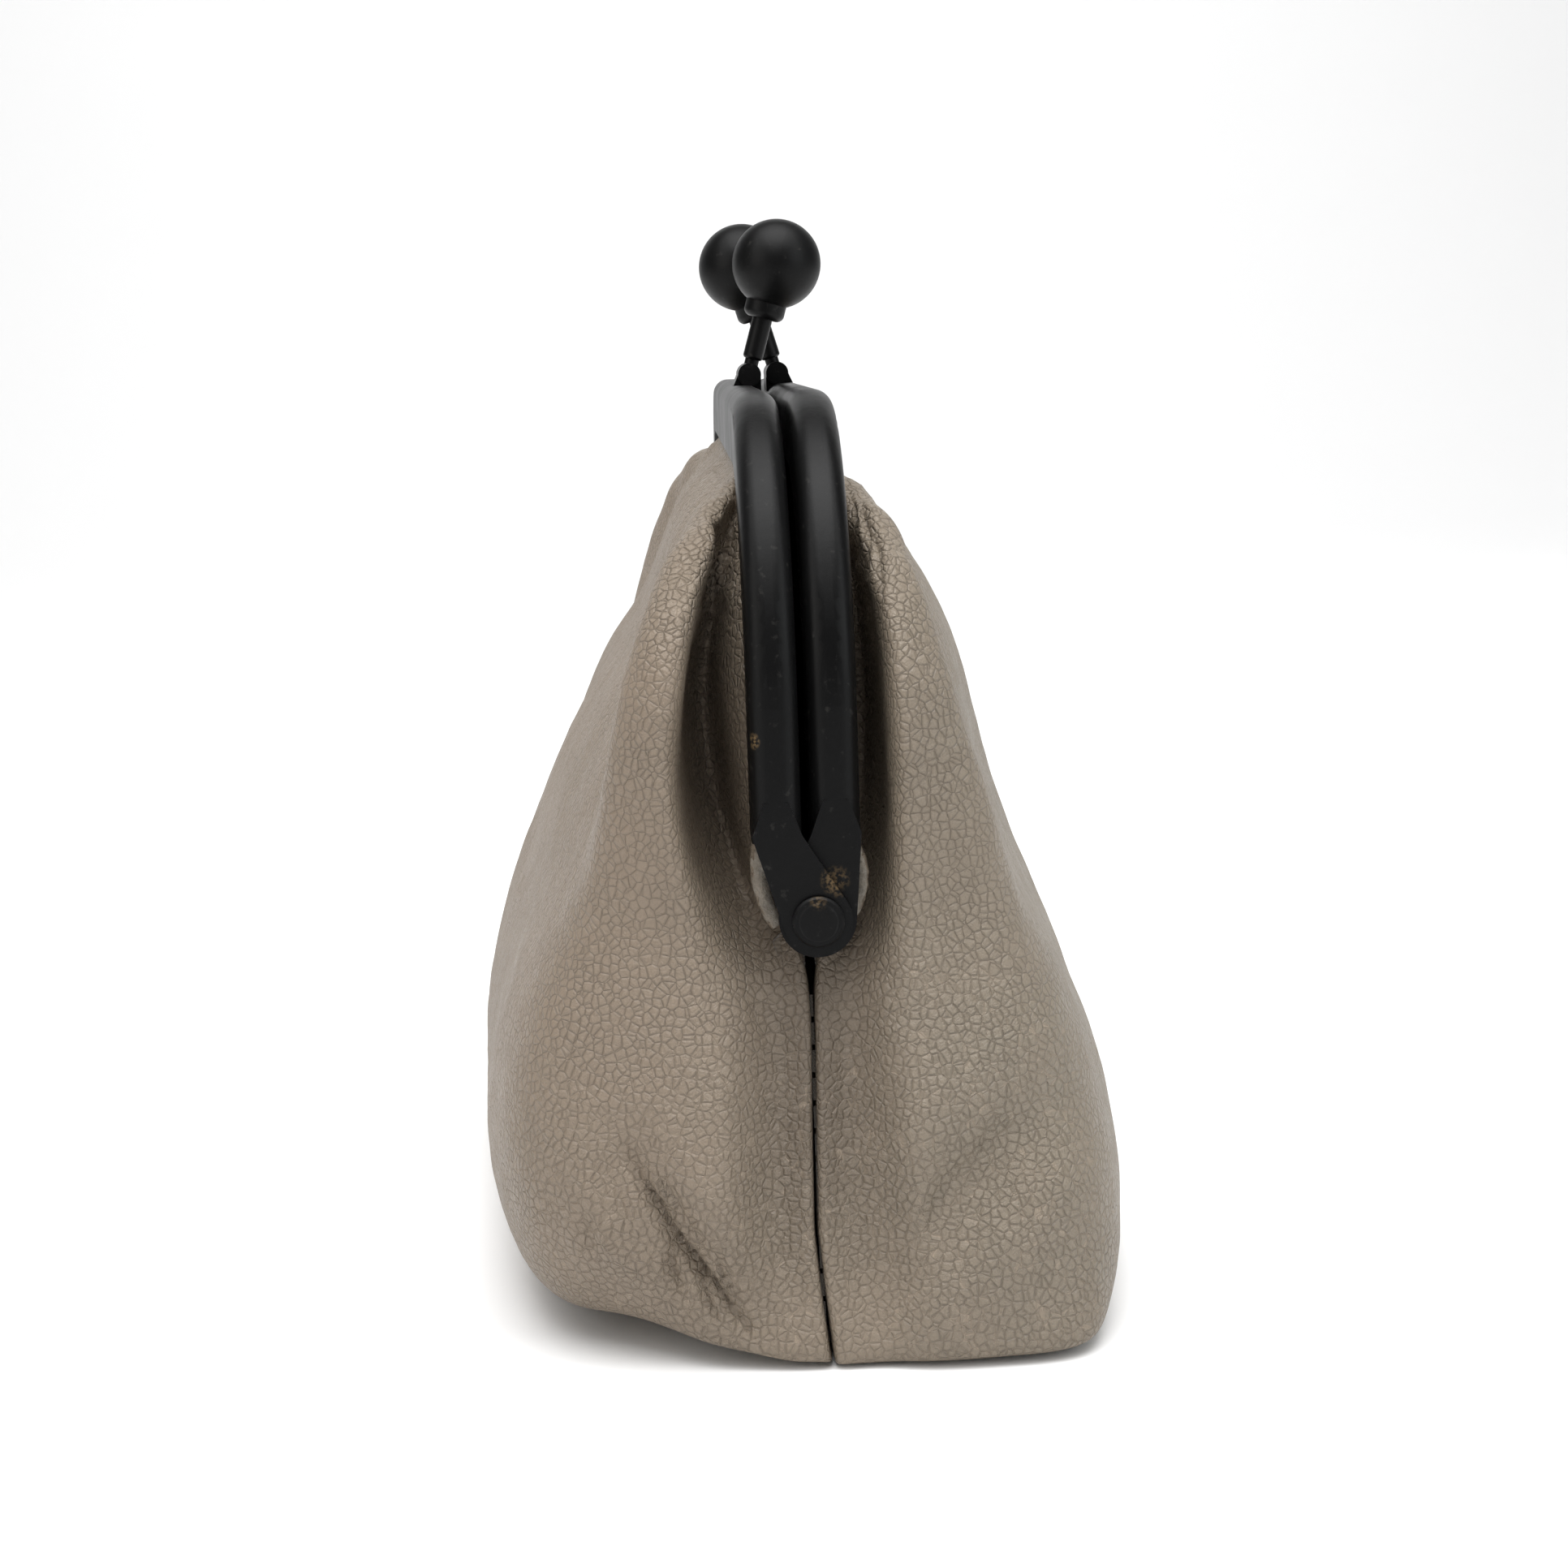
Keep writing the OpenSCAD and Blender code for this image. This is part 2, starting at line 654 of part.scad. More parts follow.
module lining_back() {
    back_lining();
}

module lining_front() {
    mirror([0, 1, 0])
        back_lining();
}

// Sewing thread: single stitches sunk in the seams between the panels

// Length of a run of points up to point i
function run_length(p, i) = i == 0 ? 0 : norm(p[i] - p[i - 1]) + run_length(p, i - 1);
// Point at a distance d along a run of points, from segment i on
function point_along(p, d, i = 1) =
    let (step = norm(p[i] - p[i - 1]))
    d <= step || i == len(p) - 1 ? p[i - 1] + (p[i] - p[i - 1]) * d / step : point_along(p, d - step, i + 1);

module stitches(path) {
    pitch = stitch_length + stitch_gap;
    count = floor(run_length(path, len(path) - 1) / pitch);
    color(thread_colour)
        for (k = [0:count - 1]) {
            a = point_along(path, k * pitch + stitch_gap / 2);
            b = point_along(path, k * pitch + stitch_gap / 2 + stitch_length);
            translate(a)
                rotate([0, atan2(b[0] - a[0], b[2] - a[2]), 0])
                    cylinder(d = thread_d, h = norm(b - a), $fn = 16);
        }
}

// The side seam lies half a leather's thickness below the surface.
function seam_path() =
    let (edge = [for (row = panel_net(false)) row[0]], foot = len(base_shares),
        top = foot + len([for (l = section_levels) if (l < 0.9) l]) - 1)
    [for (v = [foot + 0.5:0.5:top])
        let (p = spline_point(edge, v)) [p[0] - leather_t / 2, 0, p[2]]];

module side_seam_thread_right() {
    stitches(seam_path());
}

module side_seam_thread_left() {
    mirror([1, 0, 0])
        stitches(seam_path());
}

module base_seam_thread() {
    run = half_front + foot_overhang - base_box;
    stitches([[-run, 0, leather_t / 2], [run, 0, leather_t / 2]]);
}

frame_front();
frame_back();
hinge_rivet_right();
hinge_rivet_left();
hinge_washer_right();
hinge_washer_left();
paper_cord_front();
paper_cord_back();
lock_foot_front();
lock_foot_back();
lock_stem_front();
lock_stem_back();
lock_collar_front();
lock_collar_back();
lock_ball_front();
lock_ball_back();
leather_front();
leather_back();
lining_front();
lining_back();
side_seam_thread_right();
side_seam_thread_left();
base_seam_thread();
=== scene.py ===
"""A kiss lock frame purse in soft pebbled leather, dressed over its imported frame."""

import bmesh
import bpy
import numpy as np
from mathutils import Matrix, Vector, noise


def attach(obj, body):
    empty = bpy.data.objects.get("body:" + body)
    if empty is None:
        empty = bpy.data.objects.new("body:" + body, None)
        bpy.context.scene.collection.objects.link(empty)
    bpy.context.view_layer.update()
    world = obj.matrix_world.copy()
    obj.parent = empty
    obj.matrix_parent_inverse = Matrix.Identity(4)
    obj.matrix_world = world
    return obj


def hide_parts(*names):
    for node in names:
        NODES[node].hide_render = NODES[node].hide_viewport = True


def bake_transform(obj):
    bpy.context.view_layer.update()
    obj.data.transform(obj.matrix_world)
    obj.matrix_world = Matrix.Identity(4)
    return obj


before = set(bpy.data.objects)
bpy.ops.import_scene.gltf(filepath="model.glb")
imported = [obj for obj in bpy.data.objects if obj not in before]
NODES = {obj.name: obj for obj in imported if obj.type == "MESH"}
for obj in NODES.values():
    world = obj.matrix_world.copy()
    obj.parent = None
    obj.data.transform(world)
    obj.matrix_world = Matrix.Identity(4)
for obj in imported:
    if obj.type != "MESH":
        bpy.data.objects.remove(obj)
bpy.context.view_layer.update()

bl_info = {
    "name": "Kiss Lock Frame Purse",
    "version": (1, 0, 0),
    "blender": (4, 5, 0),
    "location": "3D View > Sidebar > Purse",
    "description": "Leather, lining, metal and studio for a kiss lock frame purse",
    "category": "Object",
}

# Sizes that the frame's solids share with the soft pieces, in millimetres.
HALF_LENGTH = 105.0
FRAME_TOP = 114.2
HINGE_HEIGHT = 53.0
HINGE_Y = 1.0
CORNER = 36.0
CHANNEL_DEPTH = 9.0
MOUTH_HEIGHT = FRAME_TOP - CHANNEL_DEPTH
LEATHER_EDGE = 3.6
GRIP_Y = 5.2
FOOT_OVERHANG = 6.0
SEAM_SETBACK = 7.0
SEAM_HALF_GAP = 0.12
# How far past the seam's line the panel's edge, its lip and the turn behind it lie, and how far from the middle plane.
LIP_STEPS = (-3, 0.4, 1.0)
LIP_TURNS = (SEAM_HALF_GAP, 0.14, 1.1)
LINING_HALF_GAP = 0.03
LINING_FLOOR = 1.4

# Thickness of the thin pieces, in metres.
LINING_THICKNESS = 0.0004
LOBE_THICKNESS = 0.0009

# Camera that the photograph was taken with: place in millimetres and its three axes.
CAMERA_PLACE = np.array((411.9, -13.6, 119.7))
CAMERA_RIGHT = np.array((0.0413, 0.9986, -0.0321))
CAMERA_UP = np.array((-0.16, 0.0384, 0.9864))
CAMERA_AHEAD = np.array((-0.9862, 0.0356, -0.1614))
FOCAL_PIXELS = 3297.0
PHOTO_SIZE = 1932

# Heights of the panel's sections from the table to the channel's mouth.
SECTION_HEIGHTS = (0, 3.2, 9, 18, 28, 38, 46, 52, 57.7, 64, 71.8, 79.6, 87.5, 93.2, 97.4, 100, 103.1)
BASE_SHARES = (0, 0.4, 0.75)
GRIP_SHARES = (0, 0.45, 1)

# Lines that each panel's sections follow: height, distance in from the frame's end, swell from the middle plane.
FRONT_LINES = {
    "strip": ((0, -1, 4.6), (8, 2, 4.4), (21, 4, 4), (40, 6, 3.8), (46, 6.4, 3.8), (50, 8.4, 4.4), (54, 12.5, 5.8),
              (61, 13, 7.4), (70, 13.5, 8.6), (80, 13.5, 8.8), (90, 14, 7.6), (96.3, 13, 6.2), (102, 14, 5.3),
              (105.2, 14, 5.2)),
    "groove": ((0, -1, 8.4), (8, 0, 8), (21, 1.2, 7.4), (40, 4.2, 6.6), (46, 5.4, 6.2), (50, 8.5, 6), (54, 18, 7),
               (61, 31, 9.4), (70, 34, 10.8), (80, 33, 10.8), (90, 25, 9), (96.3, 18, 7.4), (102, 16, 5.5),
               (105.2, 16, 5.2)),
    "flank": ((0, 0, 12), (5, -1, 12), (21, -3, 11.4), (40, 0, 10), (46, 2.6, 8.8), (50, 6, 8.4), (54, 11, 10.2),
              (61, 18, 13.4), (70, 21, 14.6), (80, 20, 14.2), (90, 17, 12), (96.3, 14, 8.4), (102, 17.5, 5.8),
              (105.2, 17.5, 5.2)),
    "rim": ((0, 2, 15.2), (5, 0, 15.8), (21, -2, 15), (40, 0, 13.2), (50, 1, 11.6), (54, 0.6, 12.4), (61, -0.8, 13.8),
            (70, -0.8, 14.2), (80, 0, 13.8), (90, 3, 12.4), (96.3, 7.5, 9.6), (100, 10.5, 7.8), (103, 16, 5.8),
            (105.2, 19, 5.2)),
    "nose": ((0, 4.5, 18.8), (5, 2, 20.5), (12, -0.8, 20), (21, -1.4, 19), (40, 0.6, 17.4), (49, 1.5, 16.2),
             (54, 1, 16.4),
             (61, 0.6, 17.8), (70, 0.6, 18), (80, 1.4, 17.2), (90, 3.4, 15), (96.3, 5.5, 12), (100, 8.5, 9.8),
             (103, 16, 6.4), (105.2, 21, 5.2)),
    "cheek": ((0, 9, 27.5), (5, 6.5, 30), (12, 3.5, 31.2), (21, 2.5, 31.6), (40, 4, 30.2), (54, 4.5, 27.8),
              (61, 5, 26.8),
              (70, 5, 25.6), (80, 6, 23), (90, 7.4, 19.2), (96.3, 9.4, 15.8), (100, 12, 12.2), (103, 20, 6.8),
              (105.2, 24, 5.2)),
    "shoulder": ((0, 20, 32), (5, 15.5, 36.8), (12, 12, 38.8), (21, 11, 39.6), (40, 13, 36.6), (54, 16, 28.6),
                 (70, 19, 20.6), (80, 20, 15.8), (90, 21, 12.2), (96.3, 25, 9.6), (100, 28, 7.6), (103, 32, 5.6),
                 (105.2, 33, 5.2)),
    "side": ((0, 54, 37), (5, 54, 41.5), (13, 52, 42.8), (21, 52, 43.2), (30, 52, 42.2), (40, 52, 39.2), (50, 52, 35.2),
             (60, 52, 31.4), (70, 52, 26.6), (80, 52, 19.4), (90, 53, 16.2), (96.3, 56, 13.5), (100, 60, 10),
             (103, 66, 6), (105.2, 69, 5.2)),
    "belly": ((0, 0, 39.6), (5, 0, 43.7), (13, 0, 46), (21, 0, 46.8), (30, 0, 45.2), (40, 0, 41.6), (50, 0, 37.2),
              (60, 0, 33.2), (70, 0, 28.2), (80, 0, 19.8), (90, 0, 16.4), (96.3, 0, 13.8), (100, 0, 10), (103, 0, 6),
              (105.2, 0, 5.2)),
}
BACK_LINES = {
    "strip": ((0, -1, 4.6), (8, 2, 4.4), (21, 4, 4), (40, 6, 3.8), (46, 6.4, 3.8), (50, 8.4, 4.4), (54, 12.5, 5.6),
              (61, 13, 6.8), (70, 13.5, 7.2), (80, 13.5, 7.2), (90, 14, 6.8), (96.3, 13, 6), (102, 14, 5.3),
              (105.2, 14, 5.2)),
    "groove": ((0, -1, 8.4), (8, 0, 8), (21, 1.2, 7.4), (40, 4.2, 6.4), (46, 5.4, 6), (50, 8.5, 5.8), (54, 18, 6.4),
               (61, 31, 7.6), (70, 34, 8), (80, 33, 7.9), (90, 25, 7.4), (96.3, 18, 7), (102, 16, 5.7),
               (105.2, 16, 5.2)),
    "flank": ((0, -1.5, 12), (5, -2, 12), (21, -3, 11.2), (40, 0, 9.4), (46, 2.6, 8.2), (50, 6, 7.6), (54, 11, 8.4),
              (61, 18, 9.4), (70, 21, 9.8), (80, 20, 9.6), (90, 17, 8.8), (96.3, 13, 7.4), (102, 16, 6.2),
              (105.2, 17.5, 5.2)),
    "rim": ((0, -2, 15.6), (5, -2, 16), (21, -2, 14.8), (40, 0, 12.2), (50, 1, 9.8), (54, 0.6, 9.4), (61, -0.6, 9.6),
            (70, -0.6, 9.7), (80, 0, 9.5), (90, 2.6, 9), (96.3, 6.5, 8.4), (101, 10.5, 7.6), (103.5, 15, 6),
            (105.2, 19, 5.2)),
    "nose": ((0, -2, 21.4), (5, -2, 21.6), (21, -1.4, 19.4), (40, 0.6, 16.8), (49, 1.5, 14.8), (54, 1, 14.2),
             (61, 0.6, 14.4),
             (70, 0.8, 14.2), (80, 1.4, 13.8), (90, 3, 12.6), (96.3, 5, 11.2), (101, 8.5, 9.4), (103.5, 15, 6.6),
             (105.2, 21, 5.2)),
    "cheek": ((0, -1.5, 31), (5, -1, 32.6), (21, 2.5, 30.4), (40, 4, 28), (54, 4.5, 25.8), (61, 5, 25.2), (70, 5, 23),
              (80, 6, 20), (90, 7.4, 17.2), (96.3, 9.4, 15), (101, 13, 11.8), (103.5, 19, 7.4), (105.2, 24, 5.2)),
    "shoulder": ((0, 7, 34), (5, 6.5, 37.4), (21, 11, 37.8), (40, 13, 33.6), (54, 16, 25.4), (70, 19, 18.6),
                 (80, 20, 15.6),
                 (90, 21, 13), (96.3, 25, 10.8), (101, 29, 8.4), (103.5, 32, 6.8), (105.2, 33, 5.2)),
    "side": ((0, 52, 38), (5, 52, 42), (13, 52, 42.8), (21, 52, 42.2), (30, 52, 39.4), (40, 52, 35), (50, 52, 30.6),
             (60, 52, 27), (70, 52, 25.7), (80, 52, 23.4), (90, 53, 18.6), (96.3, 56, 14.2), (100, 60, 10.8),
             (103, 66, 6.4), (105.2, 69, 5.2)),
    "belly": ((0, 0, 39.6), (5, 0, 43.7), (13, 0, 45.2), (21, 0, 45.4), (30, 0, 43), (40, 0, 38.4), (50, 0, 34.8),
              (60, 0, 31.5), (70, 0, 29.3), (80, 0, 26), (90, 0, 20), (96.3, 0, 15), (100, 0, 11), (103, 0, 6.4),
              (105.2, 0, 5.2)),
}

# Creases, each drawn in the photograph's pixels: points, width in pixels, depth in millimetres.
FRONT_CREASES = (
    (((884, 632), (888, 662), (880, 700), (866, 742)), 7, 1.4),
    (((898, 628), (902, 668), (897, 716)), 6, 1.4),
    (((911, 632), (913, 680), (908, 730)), 5, 1.0),
    (((770, 1420), (800, 1478), (832, 1542), (862, 1588), (890, 1614), (922, 1652)), 30, 1.9),
    (((770, 1420), (800, 1478), (832, 1542), (862, 1588), (890, 1614), (922, 1652)), 7, 1.2),
    (((800, 1478), (828, 1500), (850, 1530)), 5, 0.7),
    (((832, 1542), (824, 1582), (838, 1620)), 6, 0.8),
    (((862, 1588), (866, 1618), (884, 1648)), 5, 0.8),
    (((884, 1560), (896, 1592), (920, 1622)), 5, 0.7),
    (((790, 1440), (812, 1452), (842, 1500), (866, 1548)), 5, 0.5),
    (((742, 1440), (760, 1500), (786, 1556)), 14, 0.6),
    (((722, 1496), (726, 1535), (732, 1572)), 9, 0.5),
    (((950, 1300), (972, 1338), (1000, 1372)), 9, 0.45),
    (((938, 1340), (962, 1376), (990, 1404)), 9, 0.4),
    (((918, 1222), (946, 1262), (982, 1300)), 11, 0.4),
    (((840, 800), (832, 900), (836, 1000), (856, 1080)), 15, 0.5),
)
BACK_CREASES = (
    (((1048, 604), (1053, 642), (1056, 690)), 5, 1.2),
    (((1060, 612), (1066, 652), (1068, 704)), 5, 1.1),
    (((1072, 640), (1080, 676), (1084, 720)), 6, 0.9),
    (((1096, 856), (1122, 861), (1150, 856)), 4, 0.28),
    (((1094, 944), (1120, 948), (1152, 946), (1180, 938)), 4, 0.3),
    (((1096, 964), (1128, 967), (1158, 962)), 4, 0.22),
    (((1092, 1000), (1124, 1004), (1160, 998)), 4, 0.25),
    (((1090, 1032), (1118, 1036), (1148, 1034)), 4, 0.18),
    (((1290, 1370), (1236, 1424), (1180, 1490), (1130, 1560)), 42, 1.6),
    (((1262, 1384), (1222, 1404), (1186, 1444)), 7, 0.5),
    (((1180, 1440), (1160, 1480), (1132, 1530)), 8, 0.45),
    (((1150, 900), (1162, 1010), (1176, 1100), (1192, 1190)), 26, 0.7),
    (((1060, 1450), (1034, 1468), (1008, 1496)), 8, 0.4),
    (((1052, 1490), (1030, 1510), (1010, 1534)), 8, 0.4),
    (((1230, 1440), (1252, 1482), (1262, 1530)), 14, 0.35),
)


def metres(points):
    """Millimetre points as metres."""
    return np.asarray(points, float) * 0.001


def ramp(value, low, high):
    """0 below low, 1 above high, and even between them."""
    return min(1.0, max(0.0, (value - low) / (high - low)))


def smooth(values, low, high):
    """Smooth step over an array."""
    t = np.clip((values - low) / (high - low), 0, 1)
    return t * t * (3 - 2 * t)


def in_photo(points):
    """Where millimetre points lie in the photograph, in its pixels."""
    away = points - CAMERA_PLACE
    depth = away @ CAMERA_AHEAD
    middle = PHOTO_SIZE / 2
    across = middle + FOCAL_PIXELS * (away @ CAMERA_RIGHT) / depth
    down = middle - FOCAL_PIXELS * (away @ CAMERA_UP) / depth
    return np.stack((across, down), -1)


# The pouch's surface


def line_at(line, height, column):
    """Value of a line's column at a height."""
    return float(np.interp(height, [p[0] for p in line], [p[column] for p in line]))


def course_x(height, inset):
    """X of a course that runs inside the frame's outline at a distance from its outside."""
    bend = CORNER - inset
    up = height - FRAME_TOP + CORNER
    if up <= 0:
        return HALF_LENGTH - inset
    if up < bend:
        return HALF_LENGTH - CORNER + (bend * bend - up * up) ** 0.5
    return HALF_LENGTH - CORNER - 0.4 * (up - bend)


def section(lines, height):
    """Control points of one section, from the panel's right-hand edge to the middle."""
    if height < HINGE_HEIGHT:
        level = height / HINGE_HEIGHT
    else:
        level = 1 + (height - HINGE_HEIGHT) / (MOUTH_HEIGHT - HINGE_HEIGHT)
    held = ramp(level, 0.9, 1.06)
    overhang = FOOT_OVERHANG * (1 - min(level, 1) ** 2)
    mouth_x = course_x(height, CHANNEL_DEPTH)
    courses = (course_x(height, LEATHER_EDGE), course_x(height, CHANNEL_DEPTH - 1.5), mouth_x - 2.5)
    seam_x = HALF_LENGTH + overhang - SEAM_SETBACK * min(1, level)
    row = []
    for step, turn, course in zip(LIP_STEPS, LIP_TURNS, courses):
        row.append(((1 - held) * (seam_x + step) + held * course, (1 - held) * turn + held * GRIP_Y, height))
    corner = HALF_LENGTH - CHANNEL_DEPTH - mouth_x
    for name in ("strip", "groove", "flank", "rim", "nose", "cheek", "shoulder"):
        inset = line_at(lines[name], height, 1)
        row.append((HALF_LENGTH + overhang - inset - corner, line_at(lines[name], height, 2), height))
    side_x = HALF_LENGTH - line_at(lines["side"], height, 1)
    side_y = line_at(lines["side"], height, 2)
    belly_y = line_at(lines["belly"], height, 2)
    row += [(side_x, side_y, height), (side_x / 2, (side_y + belly_y) / 2, height), (0, belly_y, height)]
    return row


def control_net(lines):
    """Rows of control points over one whole panel, with positive Y."""
    rows = []
    foot = section(lines, 0)
    for share in BASE_SHARES:
        starts = np.linspace(100, 0, len(foot))
        rows.append([(x + share * (p[0] - x), SEAM_HALF_GAP + share * (p[1] - SEAM_HALF_GAP), 0)
                     for x, p in zip(starts, foot)])
    rows += [section(lines, height) for height in SECTION_HEIGHTS]
    mouth = section(lines, MOUTH_HEIGHT)
    for share in GRIP_SHARES:
        height = MOUTH_HEIGHT + share * (CHANNEL_DEPTH - LEATHER_EDGE)
        row = [(min(p[0], HALF_LENGTH - CORNER - i), GRIP_Y, height) for i, p in enumerate(mouth)]
        row[0] = (course_x(height, LEATHER_EDGE), GRIP_Y, height)
        rows.append(row)
    return np.array([row + [(-p[0], p[1], p[2]) for p in row[-2::-1]] for row in rows])


def spline_weights(count, samples):
    """Weights of a uniform cubic spline that ends on its first and last control points."""
    weights = np.zeros((len(samples), count))
    for k, sample in enumerate(samples):
        i = min(int(sample), count - 2)
        t = sample - i
        r = 1 - t
        shares = (r**3 / 6, (3 * t**3 - 6 * t * t + 4) / 6, (3 * r**3 - 6 * r * r + 4) / 6, t**3 / 6)
        for j, share in zip(range(i - 1, i + 3), shares):
            if j < 0:
                weights[k, 0] += 2 * share
                weights[k, 1] -= share
            elif j >= count:
                weights[k, count - 1] += 2 * share
                weights[k, count - 2] -= share
            else:
                weights[k, j] += share
    return weights


def steps(counts):
    """Samples along a control net, with its own count for each interval."""
    values = [i + k / n for i, n in enumerate(counts) for k in range(n)]
    return values + [len(counts)]


def surface(lines, across, up):
    """Grid of points over a panel: rows go up it and columns along it."""
    net = control_net(lines)
    along = spline_weights(net.shape[1], across)
    rise = spline_weights(net.shape[0], up)
    return np.einsum("vr,rcd,uc->vud", rise, net, along)


def grid_normals(grid):
    """Unit normals of a grid, pointing out of the pouch on the +Y side."""
    up = np.gradient(grid, axis=0)
    along = np.gradient(grid, axis=1)
    normals = np.cross(along, up)
    return normals / np.maximum(np.linalg.norm(normals, axis=-1, keepdims=True), 1e-9)


def line_distance(places, points):
    """Distance in pixels from places to a bent line, and how far along it each lies, from 0 to 1."""
    best = np.full(places.shape[:-1], 1e9)
    along = np.zeros(places.shape[:-1])
    points = np.asarray(points, float)
    for i in range(len(points) - 1):
        run = points[i + 1] - points[i]
        t = np.clip(((places - points[i]) @ run) / (run @ run), 0, 1)
        gap = np.linalg.norm(places - points[i] - t[..., None] * run, axis=-1)
        nearer = gap < best
        best = np.where(nearer, gap, best)
        along = np.where(nearer, (i + t) / (len(points) - 1), along)
    return best, along


def rough(points, scale, seed):
    """Smooth noise from -1 to 1 at each point; scale is in waves per millimetre."""
    flat = points.reshape(-1, 3) * scale + seed
    return np.array([noise.noise(p) for p in flat.tolist()]).reshape(points.shape[:-1])


def wrinkled(grid, creases, side, sag):
    """Height in millimetres of the folds, creases and sag over a panel."""
    x, y, z = grid[..., 0], grid[..., 1], grid[..., 2]
    # Far from the seams and the frame the leather sags freely.
    free = smooth(z, 1, 10) * smooth(MOUTH_HEIGHT - 3 - z, 0, 14) * smooth(y, 2, 9)
    height = sag * free * (0.8 * rough(grid, 0.03, 7 + side) + 0.4 * rough(grid, 0.075, 17 + side))
    height += 0.1 * free * rough(grid, 0.3, 27 + side)
    # Gathers below the channel's mouth.
    below = MOUTH_HEIGHT - z
    gathers = smooth(below, 0, 3) * (1 - smooth(below, 6, 22))
    height += 0.22 * gathers * np.sin(x * 0.7 + 2.2 * np.sin(x * 0.11 + side))
    # Creases of the photographed end, and fainter ones at the other end.
    for near, share in ((1, 1.0), (-1, 0.7)):
        seen = grid * (near, side, 1)
        places = in_photo(seen)
        end = smooth(seen[..., 0], 48, 62) * smooth(np.abs(y), 1, 5)
        for points, width, depth in creases:
            gap, along = line_distance(places, points)
            taper = np.sin(np.pi * np.clip(0.12 + 0.76 * along, 0, 1))
            height -= share * end * depth * taper * np.exp(-((gap / width) ** 2))
            height += share * end * 0.35 * depth * taper * np.exp(-(((gap - 2.1 * width) / (1.2 * width)) ** 2))
    return height


def seam_shift(height):
    """How far the side seam wanders from the middle plane at a height, in millimetres."""
    return np.interp(height, (0, 2, 9, 16, 26, 38, 47, 54), (1.1, 0.8, 0.1, -0.5, -0.3, 0.1, 0.2, 0))


def dented_corner(grid):
    """Lifts the foot of the near front corner, where the crease pushes it in."""
    x, y, z = grid[..., 0], grid[..., 1], grid[..., 2]
    reach = np.exp(-(((x - 100) / 22) ** 2 + ((y - 22) / 14) ** 2))
    low = 1 - smooth(z, 2, 26)
    grid[..., 2] += 3.6 * reach * low
    grid[..., 0] -= 2.0 * reach * low


def grid_object(name, rows, columns, points):
    """A grid mesh moved to the given points, in metres."""
    mesh = bpy.data.meshes.new(name)
    bm = bmesh.new()
    bmesh.ops.create_grid(bm, x_segments=columns - 1, y_segments=rows - 1, size=0.5)
    bm.verts.ensure_lookup_table()
    flat = metres(points).reshape(-1, 3)
    columns_of = []
    for vertex in bm.verts:
        column = round((vertex.co.x + 0.5) * (columns - 1))
        row = round((vertex.co.y + 0.5) * (rows - 1))
        columns_of.append(row * columns + column)
    for vertex, index in zip(bm.verts, columns_of):
        vertex.co = flat[index]
    bmesh.ops.recalc_face_normals(bm, faces=bm.faces)
    for face in bm.faces:
        face.smooth = True
    bm.to_mesh(mesh)
    bm.free()
    piece = bpy.data.objects.new(name, mesh)
    bpy.context.scene.collection.objects.link(piece)
    return piece


def face_outwards(piece, outward):
    """Turns a sheet's faces so that they point along outward on the whole."""
    total = Vector()
    for polygon in piece.data.polygons:
        total += polygon.normal * polygon.area
    if total.dot(Vector(outward)) < 0:
        piece.data.flip_normals()


def settle(piece):
    """Applies a piece's modifiers to its mesh."""
    bpy.context.view_layer.update()
    graph = bpy.context.evaluated_depsgraph_get()
    done = bpy.data.meshes.new_from_object(piece.evaluated_get(graph))
    old = piece.data
    piece.modifiers.clear()
    piece.data = done
    bpy.data.meshes.remove(old)
    return piece


def thicken(piece, thickness, rim=0):
    """Gives a sheet its thickness on the side away from its faces."""
    wall = piece.modifiers.new("Thickness", "SOLIDIFY")
    wall.thickness = thickness
    wall.offset = -1
    wall.use_even_offset = False
    wall.material_offset_rim = rim
    return settle(piece)


# Materials


def place(tree, kind, inputs=None, **settings):
    """Adds a shader node, with its settings and its inputs as values or sockets."""
    node = tree.nodes.new("ShaderNode" + kind)
    for name, value in settings.items():
        setattr(node, name, value)
    for name, value in (inputs or {}).items():
        if isinstance(value, bpy.types.NodeSocket):
            tree.links.new(value, node.inputs[name])
        else:
            node.inputs[name].default_value = value
    return node


def maths(tree, operation, first, second=0.0):
    """A Math node's output."""
    return place(tree, "Math", {0: first, 1: second}, operation=operation).outputs[0]


def spread(tree, value, low, high, to_low=0.0, to_high=1.0):
    """A clamped Map Range from one span to another."""
    node = place(tree, "MapRange", {"Value": value, "From Min": low, "From Max": high,
                                    "To Min": to_low, "To Max": to_high})
    return node.outputs["Result"]


def blend_colour(tree, share, first, second, mode="MIX"):
    """A colour Mix node's output."""
    node = tree.nodes.new("ShaderNodeMix")
    node.data_type = "RGBA"
    node.blend_type = mode
    for index, value in ((0, share), (6, first), (7, second)):
        if isinstance(value, bpy.types.NodeSocket):
            tree.links.new(value, node.inputs[index])
        else:
            node.inputs[index].default_value = value if index == 0 else (*value, 1.0)
    return node.outputs[2]


def new_group(name, inputs, outputs):
    """An empty shader node group with named sockets, and its two end nodes."""
    tree = bpy.data.node_groups.new(name, "ShaderNodeTree")
    for label, value in inputs:
        kind = "NodeSocketVector" if value is None else "NodeSocketFloat"
        socket = tree.interface.new_socket(name=label, in_out="INPUT", socket_type=kind)
        if value is not None:
            socket.default_value = value
    for label in outputs:
        tree.interface.new_socket(name=label, in_out="OUTPUT", socket_type="NodeSocketFloat")
    return tree, tree.nodes.new("NodeGroupInput"), tree.nodes.new("NodeGroupOutput")


